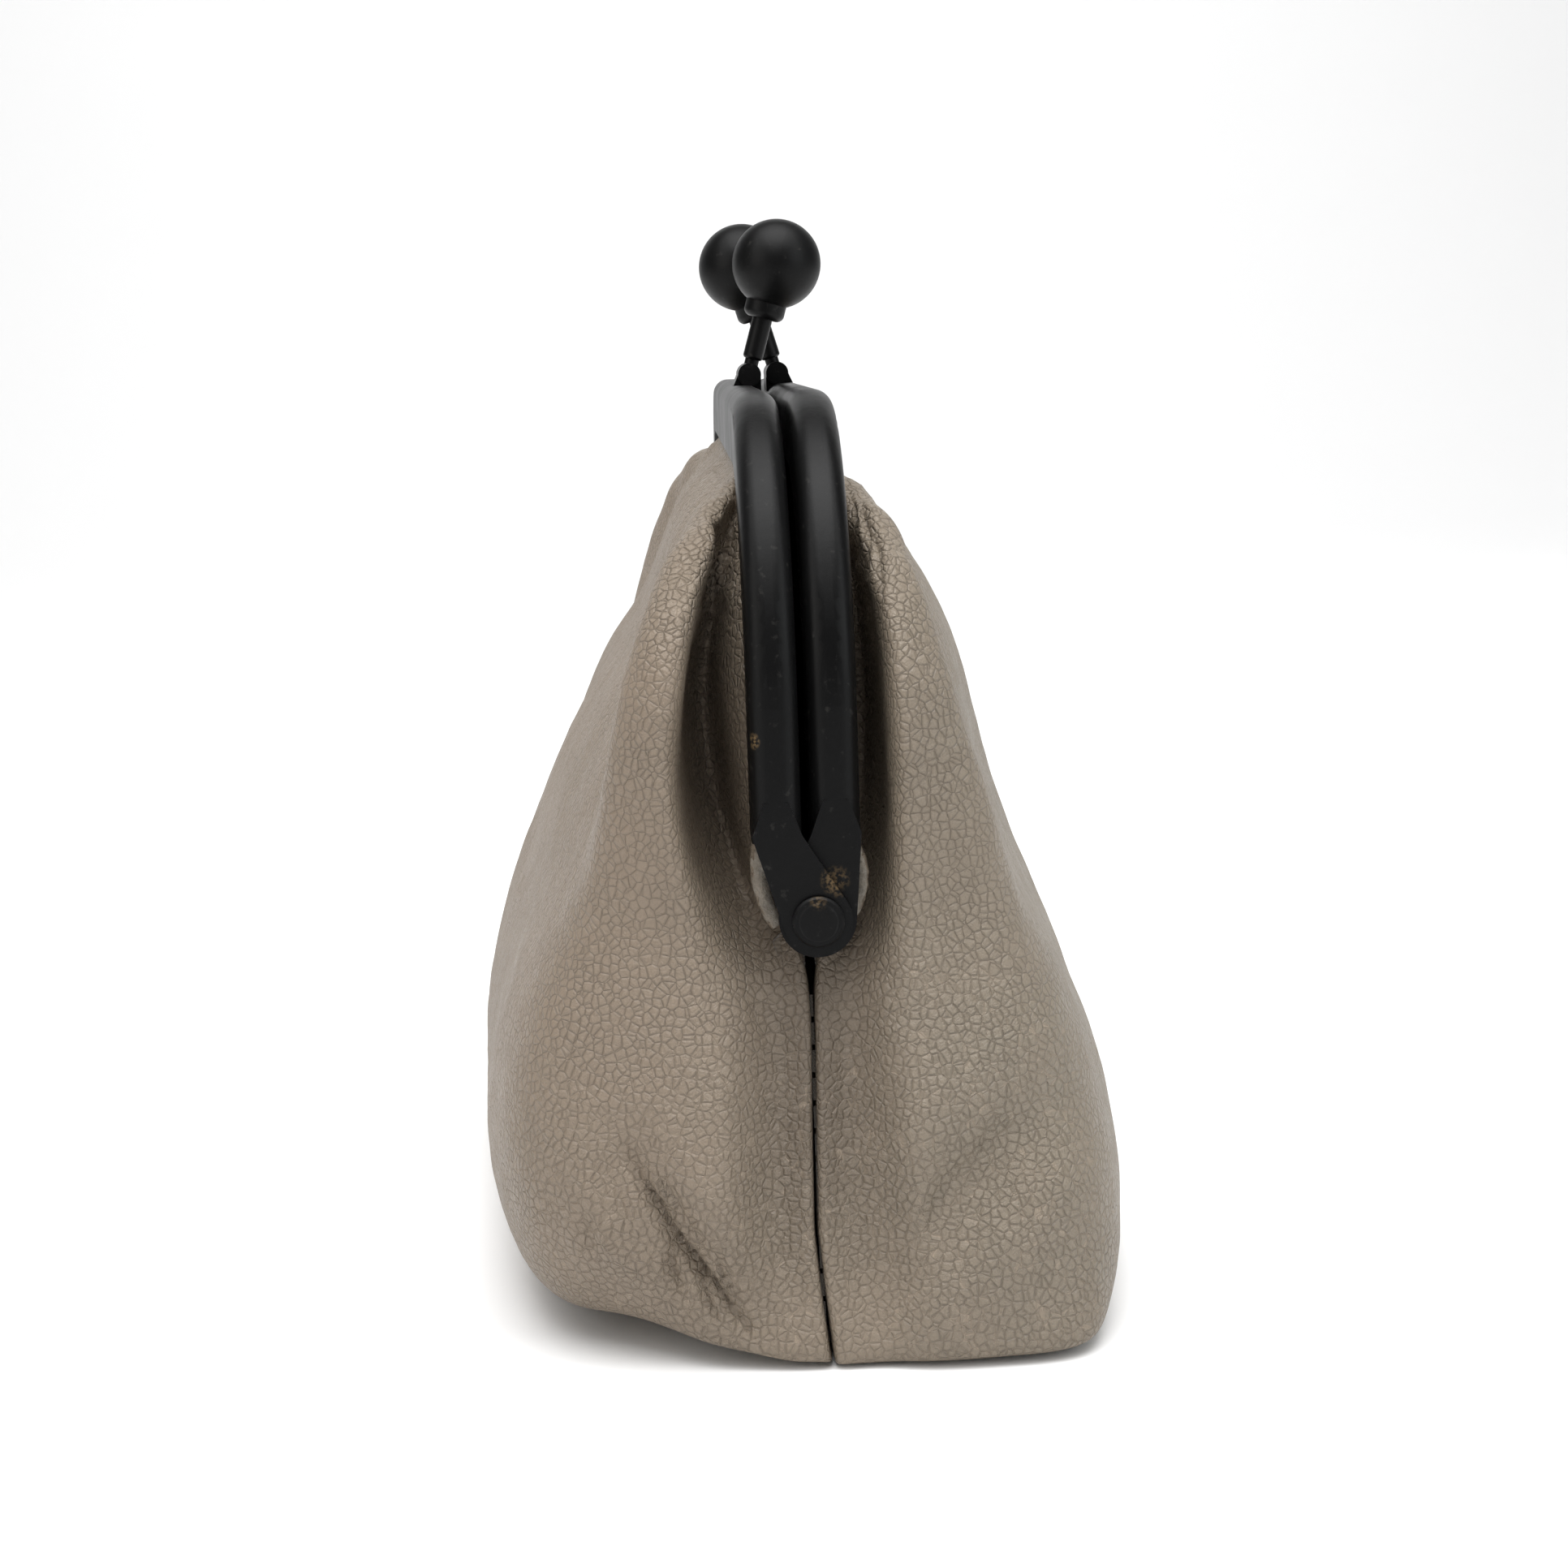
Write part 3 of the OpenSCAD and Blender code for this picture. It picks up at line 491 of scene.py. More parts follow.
def pebble_group():
    """Leather grain: round pebbles parted by fine valleys, uneven in size."""
    tree, given, wanted = new_group(
        "hide_grain", (("Vector", None), ("Cell Size", 0.0012), ("Waver", 0.35)), ("Height", "Valley"))
    density = maths(tree, "DIVIDE", 1.0, given.outputs["Cell Size"])
    wave = place(tree, "TexNoise", {"Vector": given.outputs["Vector"], "Scale": 420.0, "Detail": 2.0})
    lifted = place(tree, "VectorMath", {0: wave.outputs["Color"], 1: (0.5, 0.5, 0.5)}, operation="SUBTRACT")
    push = maths(tree, "MULTIPLY", given.outputs["Waver"], given.outputs["Cell Size"])
    bent = place(tree, "VectorMath", {0: lifted.outputs["Vector"], "Scale": push}, operation="SCALE")
    moved = place(tree, "VectorMath", {0: given.outputs["Vector"], 1: bent.outputs["Vector"]}, operation="ADD")
    edges = place(tree, "TexVoronoi", {"Vector": moved.outputs["Vector"], "Scale": density, "Randomness": 0.95},
                  feature="DISTANCE_TO_EDGE")
    pebble = spread(tree, edges.outputs["Distance"], 0.0, 0.2)
    fine_density = maths(tree, "MULTIPLY", density, 2.3)
    fine = place(tree, "TexVoronoi", {"Vector": moved.outputs["Vector"], "Scale": fine_density, "Randomness": 1.0},
                 feature="DISTANCE_TO_EDGE")
    fine_pebble = spread(tree, fine.outputs["Distance"], 0.0, 0.22)
    rounded = maths(tree, "POWER", pebble, 0.6)
    total = maths(tree, "ADD", maths(tree, "MULTIPLY", rounded, 0.85), maths(tree, "MULTIPLY", fine_pebble, 0.15))
    tree.links.new(total, wanted.inputs["Height"])
    valley = spread(tree, edges.outputs["Distance"], 0.0, 0.075, 1.0, 0.0)
    tree.links.new(valley, wanted.inputs["Valley"])
    return tree


def mottle_group():
    """Broad uneven patches from 0 to 1, for colour and gloss that vary over a surface."""
    tree, given, wanted = new_group("mottle", (("Vector", None), ("Patch Size", 0.03), ("Contrast", 1.6)), ("Patches",))
    density = maths(tree, "DIVIDE", 1.0, given.outputs["Patch Size"])
    cloud = place(tree, "TexNoise", {"Vector": given.outputs["Vector"], "Scale": density,
                                     "Detail": 4.0, "Roughness": 0.55})
    centred = maths(tree, "SUBTRACT", cloud.outputs["Fac"], 0.5)
    strong = maths(tree, "MULTIPLY", centred, given.outputs["Contrast"])
    node = place(tree, "Math", {0: strong, 1: 0.5}, operation="ADD", use_clamp=True)
    tree.links.new(node.outputs[0], wanted.inputs["Patches"])
    return tree


def scuff_group():
    """Sparse nicks and rubs, 1 where the finish is worn through."""
    tree, given, wanted = new_group("scuffs", (("Vector", None), ("Nick Size", 0.0016), ("Amount", 0.3)), ("Worn",))
    density = maths(tree, "DIVIDE", 1.0, given.outputs["Nick Size"])
    specks = place(tree, "TexNoise", {"Vector": given.outputs["Vector"], "Scale": density,
                                      "Detail": 5.0, "Roughness": 0.7})
    patch_density = maths(tree, "MULTIPLY", density, 0.13)
    patches = place(tree, "TexNoise", {"Vector": given.outputs["Vector"], "Scale": patch_density, "Detail": 2.0})
    both = maths(tree, "MULTIPLY", specks.outputs["Fac"], patches.outputs["Fac"])
    floor = maths(tree, "SUBTRACT", 0.52, maths(tree, "MULTIPLY", given.outputs["Amount"], 0.2))
    over = maths(tree, "SUBTRACT", both, floor)
    node = place(tree, "Math", {0: over, 1: 25.0}, operation="MULTIPLY", use_clamp=True)
    tree.links.new(node.outputs[0], wanted.inputs["Worn"])
    return tree


def group_node(tree, group, **values):
    """Places a node group with its input values; underscores in the names stand for spaces."""
    node = tree.nodes.new("ShaderNodeGroup")
    node.node_tree = bpy.data.node_groups[group]
    for name, value in values.items():
        socket = node.inputs[name.replace("_", " ")]
        if isinstance(value, bpy.types.NodeSocket):
            tree.links.new(value, socket)
        else:
            socket.default_value = value
    return node


def new_material(name, **fixed):
    """A material with its Principled shader; fixed values are set on the shader's own sockets."""
    material = bpy.data.materials.new(name)
    material.use_nodes = True
    tree = material.node_tree
    shader = tree.nodes["Principled BSDF"]
    for label, value in fixed.items():
        shader.inputs[label.replace("_", " ")].default_value = value
    place_node = tree.nodes.new("ShaderNodeTexCoord")
    return material, tree, shader, place_node.outputs["Object"]


def bump(tree, height, distance, strength=1.0, under=None):
    """A Bump node's normal."""
    inputs = {"Height": height, "Distance": distance, "Strength": strength}
    if under is not None:
        inputs["Normal"] = under
    return place(tree, "Bump", inputs).outputs["Normal"]


def leather_material(name, settings, raw=False):
    """Pebbled cowhide, or its pale napped edge where it is cut."""
    material, tree, shader, where = new_material(name, Specular_IOR_Level=0.36)
    body = tuple(settings.colour)
    warm = tuple(settings.warm_colour)
    cool = tuple(settings.cool_colour)
    apart = place(tree, "SeparateXYZ", {0: where})
    patches = group_node(tree, "mottle", Vector=where, Patch_Size=0.034, Contrast=2.4).outputs[0]
    small = group_node(tree, "mottle", Vector=where, Patch_Size=0.0055, Contrast=1.8).outputs[0]
    side = spread(tree, apart.outputs["Y"], -0.02, 0.03)
    leaning = maths(tree, "ADD", maths(tree, "MULTIPLY", side, 0.75), maths(tree, "MULTIPLY", patches, 0.35))
    colour = blend_colour(tree, spread(tree, leaning, 0.05, 0.95), warm, cool)
    colour = blend_colour(tree, spread(tree, small, 0.15, 0.9, 0.0, 0.3), colour, body)
    low = spread(tree, apart.outputs["Z"], 0.0, 0.03, 0.22, 0.0)
    colour = blend_colour(tree, low, colour, tuple(c * 0.86 for c in warm))
    # Painted shade: the leather beside the side seams, at the ends and above the base, is darkened where it turns into
    # the seam's recess.
    off_seam = maths(tree, "ABSOLUTE", apart.outputs["Y"])
    at_end = spread(tree, maths(tree, "ABSOLUTE", apart.outputs["X"]), 0.09, 0.1)
    above_base = spread(tree, apart.outputs["Z"], 0.008, 0.03)
    near_seam = spread(tree, off_seam, 0.0, 0.0115, 0.78, 0.0)
    seam_recess_shade = maths(tree, "MULTIPLY", near_seam, maths(tree, "MULTIPLY", at_end, above_base))
    colour = blend_colour(tree, seam_recess_shade, colour, tuple(c * 0.42 for c in warm))
    grain = group_node(tree, "hide_grain", Vector=where, Cell_Size=settings.grain_size, Waver=0.22)
    broad = group_node(tree, "hide_grain", Vector=where, Cell_Size=settings.grain_size * 2.6, Waver=0.5)
    pale = tuple(min(1.0, c * 1.5) for c in body)
    dark = tuple(c * 0.72 for c in body)
    dusty = maths(tree, "ADD", patches, spread(tree, apart.outputs["Z"], 0.0, 0.06, 0.3, -0.15))
    crack = blend_colour(tree, spread(tree, dusty, 0.42, 0.6), dark, pale)
    lines = maths(tree, "MULTIPLY", grain.outputs["Valley"], spread(tree, small, 0.2, 0.8, 0.35, 0.7))
    colour = blend_colour(tree, lines, colour, crack)
    stain = group_node(tree, "scuffs", Vector=where, Nick_Size=0.0022, Amount=0.05).outputs[0]
    colour = blend_colour(tree, maths(tree, "MULTIPLY", stain, 0.3), colour, dark)
    for spot, size in (((0.1036, 0.0088, 0.0382), 0.0007), ((0.1033, 0.0061, 0.0372), 0.0004),
                       ((0.1032, 0.0042, 0.0375), 0.0003)):
        gap = place(tree, "VectorMath", {0: where, 1: spot}, operation="DISTANCE").outputs["Value"]
        colour = blend_colour(tree, spread(tree, gap, size * 0.5, size * 1.3, 0.55, 0.0), colour, dark)
    if raw:
        nap = place(tree, "TexNoise", {"Vector": where, "Scale": 1700.0, "Detail": 5.0,
                                       "Roughness": 0.75}).outputs["Fac"]
        colour = blend_colour(tree, spread(tree, nap, 0.35, 0.65), tuple(settings.edge_colour), colour)
        colour = blend_colour(tree, spread(tree, nap, 0.5, 0.72, 0.0, 0.7), colour, tuple(settings.edge_colour))
        tree.links.new(bump(tree, nap, 0.0004), shader.inputs["Normal"])
        tree.links.new(spread(tree, nap, 0.0, 1.0, 0.75, 0.95), shader.inputs["Roughness"])
    else:
        pores = place(tree, "TexNoise", {"Vector": where, "Scale": 3200.0, "Detail": 3.0}).outputs["Fac"]
        soft = place(tree, "TexNoise", {"Vector": where, "Scale": 260.0, "Detail": 4.0,
                                        "Roughness": 0.6}).outputs["Fac"]
        uneven = spread(tree, patches, 0.2, 0.8, 0.55, 1.0)
        pebbles = maths(tree, "MULTIPLY", grain.outputs["Height"], uneven)
        height = maths(tree, "ADD", maths(tree, "MULTIPLY", pebbles, 0.55), maths(tree, "MULTIPLY", pores, 0.08))
        height = maths(tree, "ADD", height, maths(tree, "MULTIPLY", broad.outputs["Height"], 0.14))
        height = maths(tree, "ADD", height, maths(tree, "MULTIPLY", soft, 0.5))
        tree.links.new(bump(tree, height, settings.grain_depth), shader.inputs["Normal"])
        matt_valleys = maths(tree, "MULTIPLY", grain.outputs["Valley"], 0.14)
        gloss = maths(tree, "ADD", maths(tree, "MULTIPLY", small, 0.12), matt_valleys)
        tree.links.new(maths(tree, "ADD", gloss, settings.roughness), shader.inputs["Roughness"])
    tree.links.new(colour, shader.inputs["Base Color"])
    return material


def lining_material(name):
    """Plain woven lining cloth in a brown that goes with the leather."""
    material, tree, shader, where = new_material(name, Specular_IOR_Level=0.25, Sheen_Weight=0.2, Sheen_Roughness=0.4)
    yarns = {"Vector": where, "Scale": 700.0, "Distortion": 0.6, "Detail": 1.0}
    across = place(tree, "TexWave", yarns, bands_direction="X")
    along = place(tree, "TexWave", yarns, bands_direction="Z")
    weave = maths(tree, "ADD", maths(tree, "MULTIPLY", across.outputs["Fac"], 0.5),
                  maths(tree, "MULTIPLY", along.outputs["Fac"], 0.5))
    patches = group_node(tree, "mottle", Vector=where, Patch_Size=0.02, Contrast=1.2).outputs[0]
    colour = blend_colour(tree, weave, (0.085, 0.067, 0.05), (0.16, 0.13, 0.1))
    colour = blend_colour(tree, maths(tree, "MULTIPLY", patches, 0.35), colour, (0.12, 0.1, 0.08))
    tree.links.new(colour, shader.inputs["Base Color"])
    tree.links.new(spread(tree, weave, 0.0, 1.0, 0.9, 0.75), shader.inputs["Roughness"])
    tree.links.new(bump(tree, weave, 0.00012), shader.inputs["Normal"])
    return material


def black_metal_material(name, settings, rubs=()):
    """Satin black lacquer on metal, with brassy nicks and given rubbed places."""
    material, tree, shader, where = new_material(name, Specular_IOR_Level=0.13)
    patches = group_node(tree, "mottle", Vector=where, Patch_Size=0.012, Contrast=1.8).outputs[0]
    dust = group_node(tree, "mottle", Vector=where, Patch_Size=0.0012, Contrast=2.2).outputs[0]
    black = tuple(settings.black)
    lighter = tuple(c * 1.7 for c in black)
    colour = blend_colour(tree, maths(tree, "MULTIPLY", patches, 0.7), black, lighter)
    colour = blend_colour(tree, spread(tree, dust, 0.8, 1.0, 0.0, 0.14), colour, (0.09, 0.085, 0.078))
    worn = group_node(tree, "scuffs", Vector=where, Nick_Size=0.0008, Amount=settings.wear).outputs[0]
    for spot, size, share in rubs:
        gap = place(tree, "VectorMath", {0: where, 1: spot}, operation="DISTANCE").outputs["Value"]
        near = spread(tree, gap, size * 0.4, size, share, 0.0)
        flecks = place(tree, "TexNoise", {"Vector": where, "Scale": 2400.0, "Detail": 4.0}).outputs["Fac"]
        worn = maths(tree, "MAXIMUM", worn, maths(tree, "MULTIPLY", near, spread(tree, flecks, 0.42, 0.6)))
    colour = blend_colour(tree, worn, colour, tuple(settings.brass))
    grit = place(tree, "TexNoise", {"Vector": where, "Scale": 5200.0, "Detail": 3.0}).outputs["Fac"]
    peel = place(tree, "TexNoise", {"Vector": where, "Scale": 900.0, "Detail": 2.0}).outputs["Fac"]
    height = maths(tree, "ADD", maths(tree, "MULTIPLY", grit, 0.35), maths(tree, "MULTIPLY", peel, 0.5))
    height = maths(tree, "SUBTRACT", height, maths(tree, "MULTIPLY", worn, 0.6))
    tree.links.new(bump(tree, height, 0.00004), shader.inputs["Normal"])
    gloss = spread(tree, patches, 0.0, 1.0, settings.gloss - 0.05, settings.gloss + 0.1)
    tree.links.new(maths(tree, "ADD", gloss, maths(tree, "MULTIPLY", worn, 0.1)), shader.inputs["Roughness"])
    tree.links.new(maths(tree, "MULTIPLY", worn, 0.8), shader.inputs["Metallic"])
    tree.links.new(colour, shader.inputs["Base Color"])
    return material


def thread_material(name, first, second, twist):
    """Twisted thread or paper cord, with slanting strands."""
    material, tree, shader, where = new_material(name, Specular_IOR_Level=0.3, Sheen_Weight=0.15)
    strands = place(tree, "TexWave", {"Vector": where, "Scale": twist, "Distortion": 1.5, "Detail": 2.0},
                    bands_direction="DIAGONAL")
    fuzz = place(tree, "TexNoise", {"Vector": where, "Scale": 4000.0, "Detail": 4.0}).outputs["Fac"]
    height = maths(tree, "ADD", maths(tree, "MULTIPLY", strands.outputs["Fac"], 0.7),
                   maths(tree, "MULTIPLY", fuzz, 0.3))
    tree.links.new(blend_colour(tree, height, first, second), shader.inputs["Base Color"])
    tree.links.new(spread(tree, fuzz, 0.0, 1.0, 0.7, 0.9), shader.inputs["Roughness"])
    tree.links.new(bump(tree, height, 0.0001), shader.inputs["Normal"])
    return material


def stage_material(name, colour):
    """Plain pale paper for the floor and the backdrop."""
    material, tree, shader, where = new_material(name, Specular_IOR_Level=0.2)
    patches = group_node(tree, "mottle", Vector=where, Patch_Size=0.4, Contrast=0.4).outputs[0]
    shade = tuple(c * 0.985 for c in colour)
    tree.links.new(blend_colour(tree, patches, tuple(colour), shade), shader.inputs["Base Color"])
    tree.links.new(spread(tree, patches, 0.0, 1.0, 0.75, 0.85), shader.inputs["Roughness"])
    return material


def finish_node(name, material):
    """Gives a CAD node its material."""
    node = NODES[name]
    node.data.materials.clear()
    node.data.materials.append(material)


# Settings


class PURSE_PG_leather(bpy.types.PropertyGroup):
    thickness: bpy.props.FloatProperty(
        name="Thickness", description="Thickness of the leather", default=0.0011, min=0.0006, max=0.002,
        unit="LENGTH", subtype="DISTANCE")
    sag: bpy.props.FloatProperty(
        name="Sag", description="How uneven the hanging leather is", default=1.0, min=0.0, max=2.0, subtype="FACTOR")
    grain_size: bpy.props.FloatProperty(
        name="Grain Size", description="Size of one pebble of the grain", default=0.00112, min=0.0005, max=0.004,
        unit="LENGTH", subtype="DISTANCE")
    grain_depth: bpy.props.FloatProperty(
        name="Grain Depth", description="Depth of the grain's valleys", default=0.00062, min=0.0, max=0.001,
        unit="LENGTH", subtype="DISTANCE")
    roughness: bpy.props.FloatProperty(
        name="Roughness", description="How dull the leather's finish is", default=0.38, min=0.1, max=1.0,
        subtype="FACTOR")
    colour: bpy.props.FloatVectorProperty(
        name="Colour", description="Taupe of the leather", default=(0.214, 0.172, 0.13), min=0.0, max=1.0,
        subtype="COLOR")
    warm_colour: bpy.props.FloatVectorProperty(
        name="Warm Colour", description="Browner taupe of the front panel", default=(0.218, 0.17, 0.126), min=0.0,
        max=1.0, subtype="COLOR")
    cool_colour: bpy.props.FloatVectorProperty(
        name="Cool Colour", description="Greyer taupe of the back panel", default=(0.203, 0.172, 0.131), min=0.0,
        max=1.0, subtype="COLOR")
    edge_colour: bpy.props.FloatVectorProperty(
        name="Edge Colour", description="Pale nap of the leather's cut edges", default=(0.25, 0.232, 0.2), min=0.0,
        max=1.0, subtype="COLOR")


class PURSE_PG_metal(bpy.types.PropertyGroup):
    black: bpy.props.FloatVectorProperty(
        name="Black", description="Lacquer of the frame and the lock", default=(0.0024, 0.0024, 0.0025), min=0.0,
        max=1.0, subtype="COLOR")
    brass: bpy.props.FloatVectorProperty(
        name="Brass", description="Metal that shows where the lacquer is worn", default=(0.3, 0.2, 0.1), min=0.0,
        max=1.0, subtype="COLOR")
    gloss: bpy.props.FloatProperty(
        name="Gloss", description="Roughness of the lacquer", default=0.36, min=0.05, max=1.0, subtype="FACTOR")
    wear: bpy.props.FloatProperty(
        name="Wear", description="Amount of nicks in the lacquer", default=0.04, min=0.0, max=1.0, subtype="FACTOR")


class PURSE_PG_stage(bpy.types.PropertyGroup):
    floor_colour: bpy.props.FloatVectorProperty(
        name="Floor Colour", description="Paper of the floor and backdrop", default=(0.93, 0.93, 0.93), min=0.0,
        max=1.0, subtype="COLOR")
    key_power: bpy.props.FloatProperty(
        name="Key Power", description="Power of the overhead soft light", default=7.0, min=0.0, max=200.0,
        unit="POWER")
    front_power: bpy.props.FloatProperty(
        name="Front Power", description="Power of the soft light beside the camera", default=1.4, min=0.0, max=200.0,
        unit="POWER")
    fill_power: bpy.props.FloatProperty(
        name="Fill Power", description="Power of each side light", default=3.4, min=0.0, max=100.0, unit="POWER")
    backdrop_power: bpy.props.FloatProperty(
        name="Backdrop Power", description="Power of the light on the paper behind the purse", default=30.0, min=0.0,
        max=200.0, unit="POWER")
    sky: bpy.props.FloatProperty(
        name="Sky", description="Strength of the even light from all round", default=0.13, min=0.0, max=3.0)


# Operators


def panel_grid(lines, creases, side, across, up, sag):
    """Points and normals over one panel on the +Y side, with its folds, creases and dents."""
    grid = surface(lines, across, up)
    normals = grid_normals(grid)
    height = wrinkled(grid, creases, side, sag)
    grid = grid + normals * height[..., None]
    if side < 0:
        dented_corner(grid)
    return grid, normals


def set_side(grid, side, seam_gap, floor):
    """Puts a panel on its own side, against the wandering seam and above the floor."""
    close = (1 - smooth(np.abs(grid[..., 1]), 2, 12)) * (1 - smooth(grid[..., 2], 46, 54))
    wander = seam_shift(grid[..., 2]) * close * smooth(grid[..., 0], 20, 70)
    grid[..., 1] = np.maximum(grid[..., 1], seam_gap)
    grid[..., 2] = np.maximum(grid[..., 2], floor)
    grid[..., 1] = side * grid[..., 1] + wander


def leather_panel(name, replaced, lines, creases, side, materials, settings):
    """One leather panel: a lofted sheet that follows the frame's channel and folds over its arms."""
    across = steps([6] + [14] * 9 + [9] * 4 + [14] * 9 + [6])
    up = steps([3, 3, 5] + [7] * 16 + [3, 3, 2])
    grid, normals = panel_grid(lines, creases, side, across, up, settings.sag)
    set_side(grid, side, SEAM_HALF_GAP, 0)
    piece = grid_object(name, len(up), len(across), grid)
    face_outwards(piece, (0, side, 0))
    for material in materials:
        piece.data.materials.append(material)
    thicken(piece, settings.thickness, rim=1)
    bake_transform(piece)
    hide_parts(replaced)
    return piece


class PURSE_OT_leather(bpy.types.Operator):
    """Lofts the two leather panels with their folds and creases"""

    bl_idname = "purse.leather"
    bl_label = "Leather Panels"

    def execute(self, context):
        settings = context.scene.purse_leather
        hide = leather_material("pebbled_leather", settings)
        edge = leather_material("leather_cut_edge", settings, raw=True)
        leather_panel("front_panel", "leather_front", FRONT_LINES, FRONT_CREASES, -1, (hide, edge),
                      settings)
        leather_panel("back_panel", "leather_back", BACK_LINES, BACK_CREASES, 1, (hide, edge), settings)
        return {"FINISHED"}


class PURSE_OT_lining(bpy.types.Operator):
    """Hangs the two lining panels inside the leather"""

    bl_idname = "purse.lining"
    bl_label = "Lining"

    def execute(self, context):
        cloth = lining_material("woven_lining")
        for name, lines, creases, side, half in (("front", FRONT_LINES, FRONT_CREASES, -1, "front_half"),
                                                 ("back", BACK_LINES, BACK_CREASES, 1, "back_half")):
            across = steps([2] + [5] * 9 + [4] * 4 + [5] * 9 + [2])
            up = steps([2, 2, 3] + [4] * 16 + [1, 1, 1])
            grid, normals = panel_grid(lines, creases, side, across, up, context.scene.purse_leather.sag)
            low = 1 - smooth(grid[..., 2], 88, 102)
            depth = 1.35 + 0.9 * low + 0.25 * low * rough(grid, 0.12, 41 + side)
            grid = grid - normals * depth[..., None]
            set_side(grid, side, LINING_HALF_GAP, LINING_FLOOR)
            piece = grid_object("lining_cloth_" + name, len(up), len(across), grid)
            face_outwards(piece, (0, side, 0))
            piece.data.materials.append(cloth)
            thicken(piece, LINING_THICKNESS)
            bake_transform(piece)
            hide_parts("lining_" + name)
        return {"FINISHED"}


class PURSE_OT_frame(bpy.types.Operator):
    """Finishes the two frame halves, the hinges and the lock in worn black lacquer"""

    bl_idname = "purse.frame"
    bl_label = "Frame, Hinges and Lock"

    def execute(self, context):
        settings = context.scene.purse_metal
        rubs = (((0.1045, -0.0048, 0.108), 0.0035, 0.7), ((0.105, -0.005, 0.1035), 0.003, 0.6),
                ((0.1052, 0.0034, 0.0578), 0.0022, 0.35), ((0.1045, -0.0062, 0.0745), 0.0012, 0.6))
        lacquer = black_metal_material("black_lacquer", settings, rubs)
        dull = black_metal_material("rivet_black", settings, (((0.106, 0.001, 0.0555), 0.0012, 0.2),))
        for name in ("frame_front", "frame_back"):
            finish_node(name, lacquer)
        for part in ("hinge_rivet", "hinge_washer"):
            for end in ("_right", "_left"):
                finish_node(part + end, dull)
        knob = black_metal_material("lock_black", settings)
        for part in ("foot", "stem", "collar", "ball"):
            for end in ("_front", "_back"):
                finish_node("lock_" + part + end, knob)
        return {"FINISHED"}


class PURSE_OT_cords(bpy.types.Operator):
    """Finishes the paper cords in the channels and the threads in the seams"""

    bl_idname = "purse.cords"
    bl_label = "Paper Cords and Threads"

    def execute(self, context):
        paper = thread_material("paper_twine", (0.5, 0.42, 0.3), (0.72, 0.64, 0.5), 900.0)
        for name in ("paper_cord_front", "paper_cord_back"):
            finish_node(name, paper)
        thread = thread_material("seam_thread", (0.02, 0.016, 0.012), (0.055, 0.045, 0.035), 2200.0)
        for name in ("side_seam_thread_right", "side_seam_thread_left", "base_seam_thread"):
            finish_node(name, thread)
        return {"FINISHED"}


def lobe_points(path, side):
    """Grid over a leather end beside a hinge tab: out from behind the tab, round its edge and back along the fold."""
    weights = spline_weights(len(path), np.linspace(0, len(path) - 1, 33))
    line = weights @ np.asarray(path, float)
    middle = np.array((HINGE_Y * side, HINGE_HEIGHT + 2))
    rows = []
    for x, share in ((100.6, 0.66), (101.5, 0.72), (102.0, 0.8), (102.2, 0.88), (102.0, 0.96), (101.3, 1.0),
                     (100.2, 1.01), (98.8, 1.0), (97.2, 0.97), (95.6, 0.92)):
        rows.append([(x, *((1 - share) * middle + share * point)) for point in line])
    return np.array(rows)


class PURSE_OT_lobes(bpy.types.Operator):
    """Curls the leather's cut ends out beside the hinge tabs"""

    bl_idname = "purse.lobes"
    bl_label = "Leather Ends at the Hinges"

    def execute(self, context):
        hide = bpy.data.materials["pebbled_leather"]
        nap = bpy.data.materials["leather_cut_edge"]
        paths = {
            -1: ((6.3, 62.2), (6.6, 60.4), (6.7, 58.4), (6.5, 56.4), (6.0, 54.5), (5.3, 52.8), (4.4, 51.4)),
            1: ((6.0, 61.6), (6.9, 60.4), (7.4, 58.5), (7.3, 56.2), (6.7, 54.0), (5.6, 52.4), (4.2, 51.0)),
        }
        for side, half, name in ((-1, "front_half", "front"), (1, "back_half", "back")):
            for end, word in ((1, "right"), (-1, "left")):
                grid = lobe_points(paths[side], side)
                crinkle = 0.4 * rough(grid, 0.9, 60 + side) + 0.34 * rough(grid, 2.2, 70 + side)
                grid[..., 0] += crinkle
                grid[..., 1] += 0.4 * crinkle
                grid[..., 1] *= side
                grid[..., 0] *= end
                piece = grid_object(f"leather_end_{name}_{word}", 10, 33, grid)
                face_outwards(piece, (end, side, 0))
                for material in (hide, nap):
                    piece.data.materials.append(material)
                for polygon in piece.data.polygons:
                    # The cut face looks along the purse, and the grain side looks out.
                    polygon.material_index = 1 if abs(polygon.normal.x) > 0.55 else 0
                thicken(piece, LOBE_THICKNESS, rim=0)
                soften = piece.modifiers.new("Soft", "SUBSURF")
                soften.levels = soften.render_levels = 1
                settle(piece)
                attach(piece, half)
        return {"FINISHED"}


def soft_light(name, place_at, aim, size, power, colour=(1, 1, 1)):
    """A square area light that faces a point."""
    lamp = bpy.data.lights.new(name, "AREA")
    lamp.shape = "RECTANGLE"
    lamp.size, lamp.size_y = size
    lamp.energy = power
    lamp.color = colour
    lamp_object = bpy.data.objects.new(name, lamp)
    bpy.context.scene.collection.objects.link(lamp_object)
    lamp_object.location = place_at
    lamp_object.rotation_euler = (Vector(aim) - Vector(place_at)).to_track_quat("-Z", "Y").to_euler()
    return lamp_object


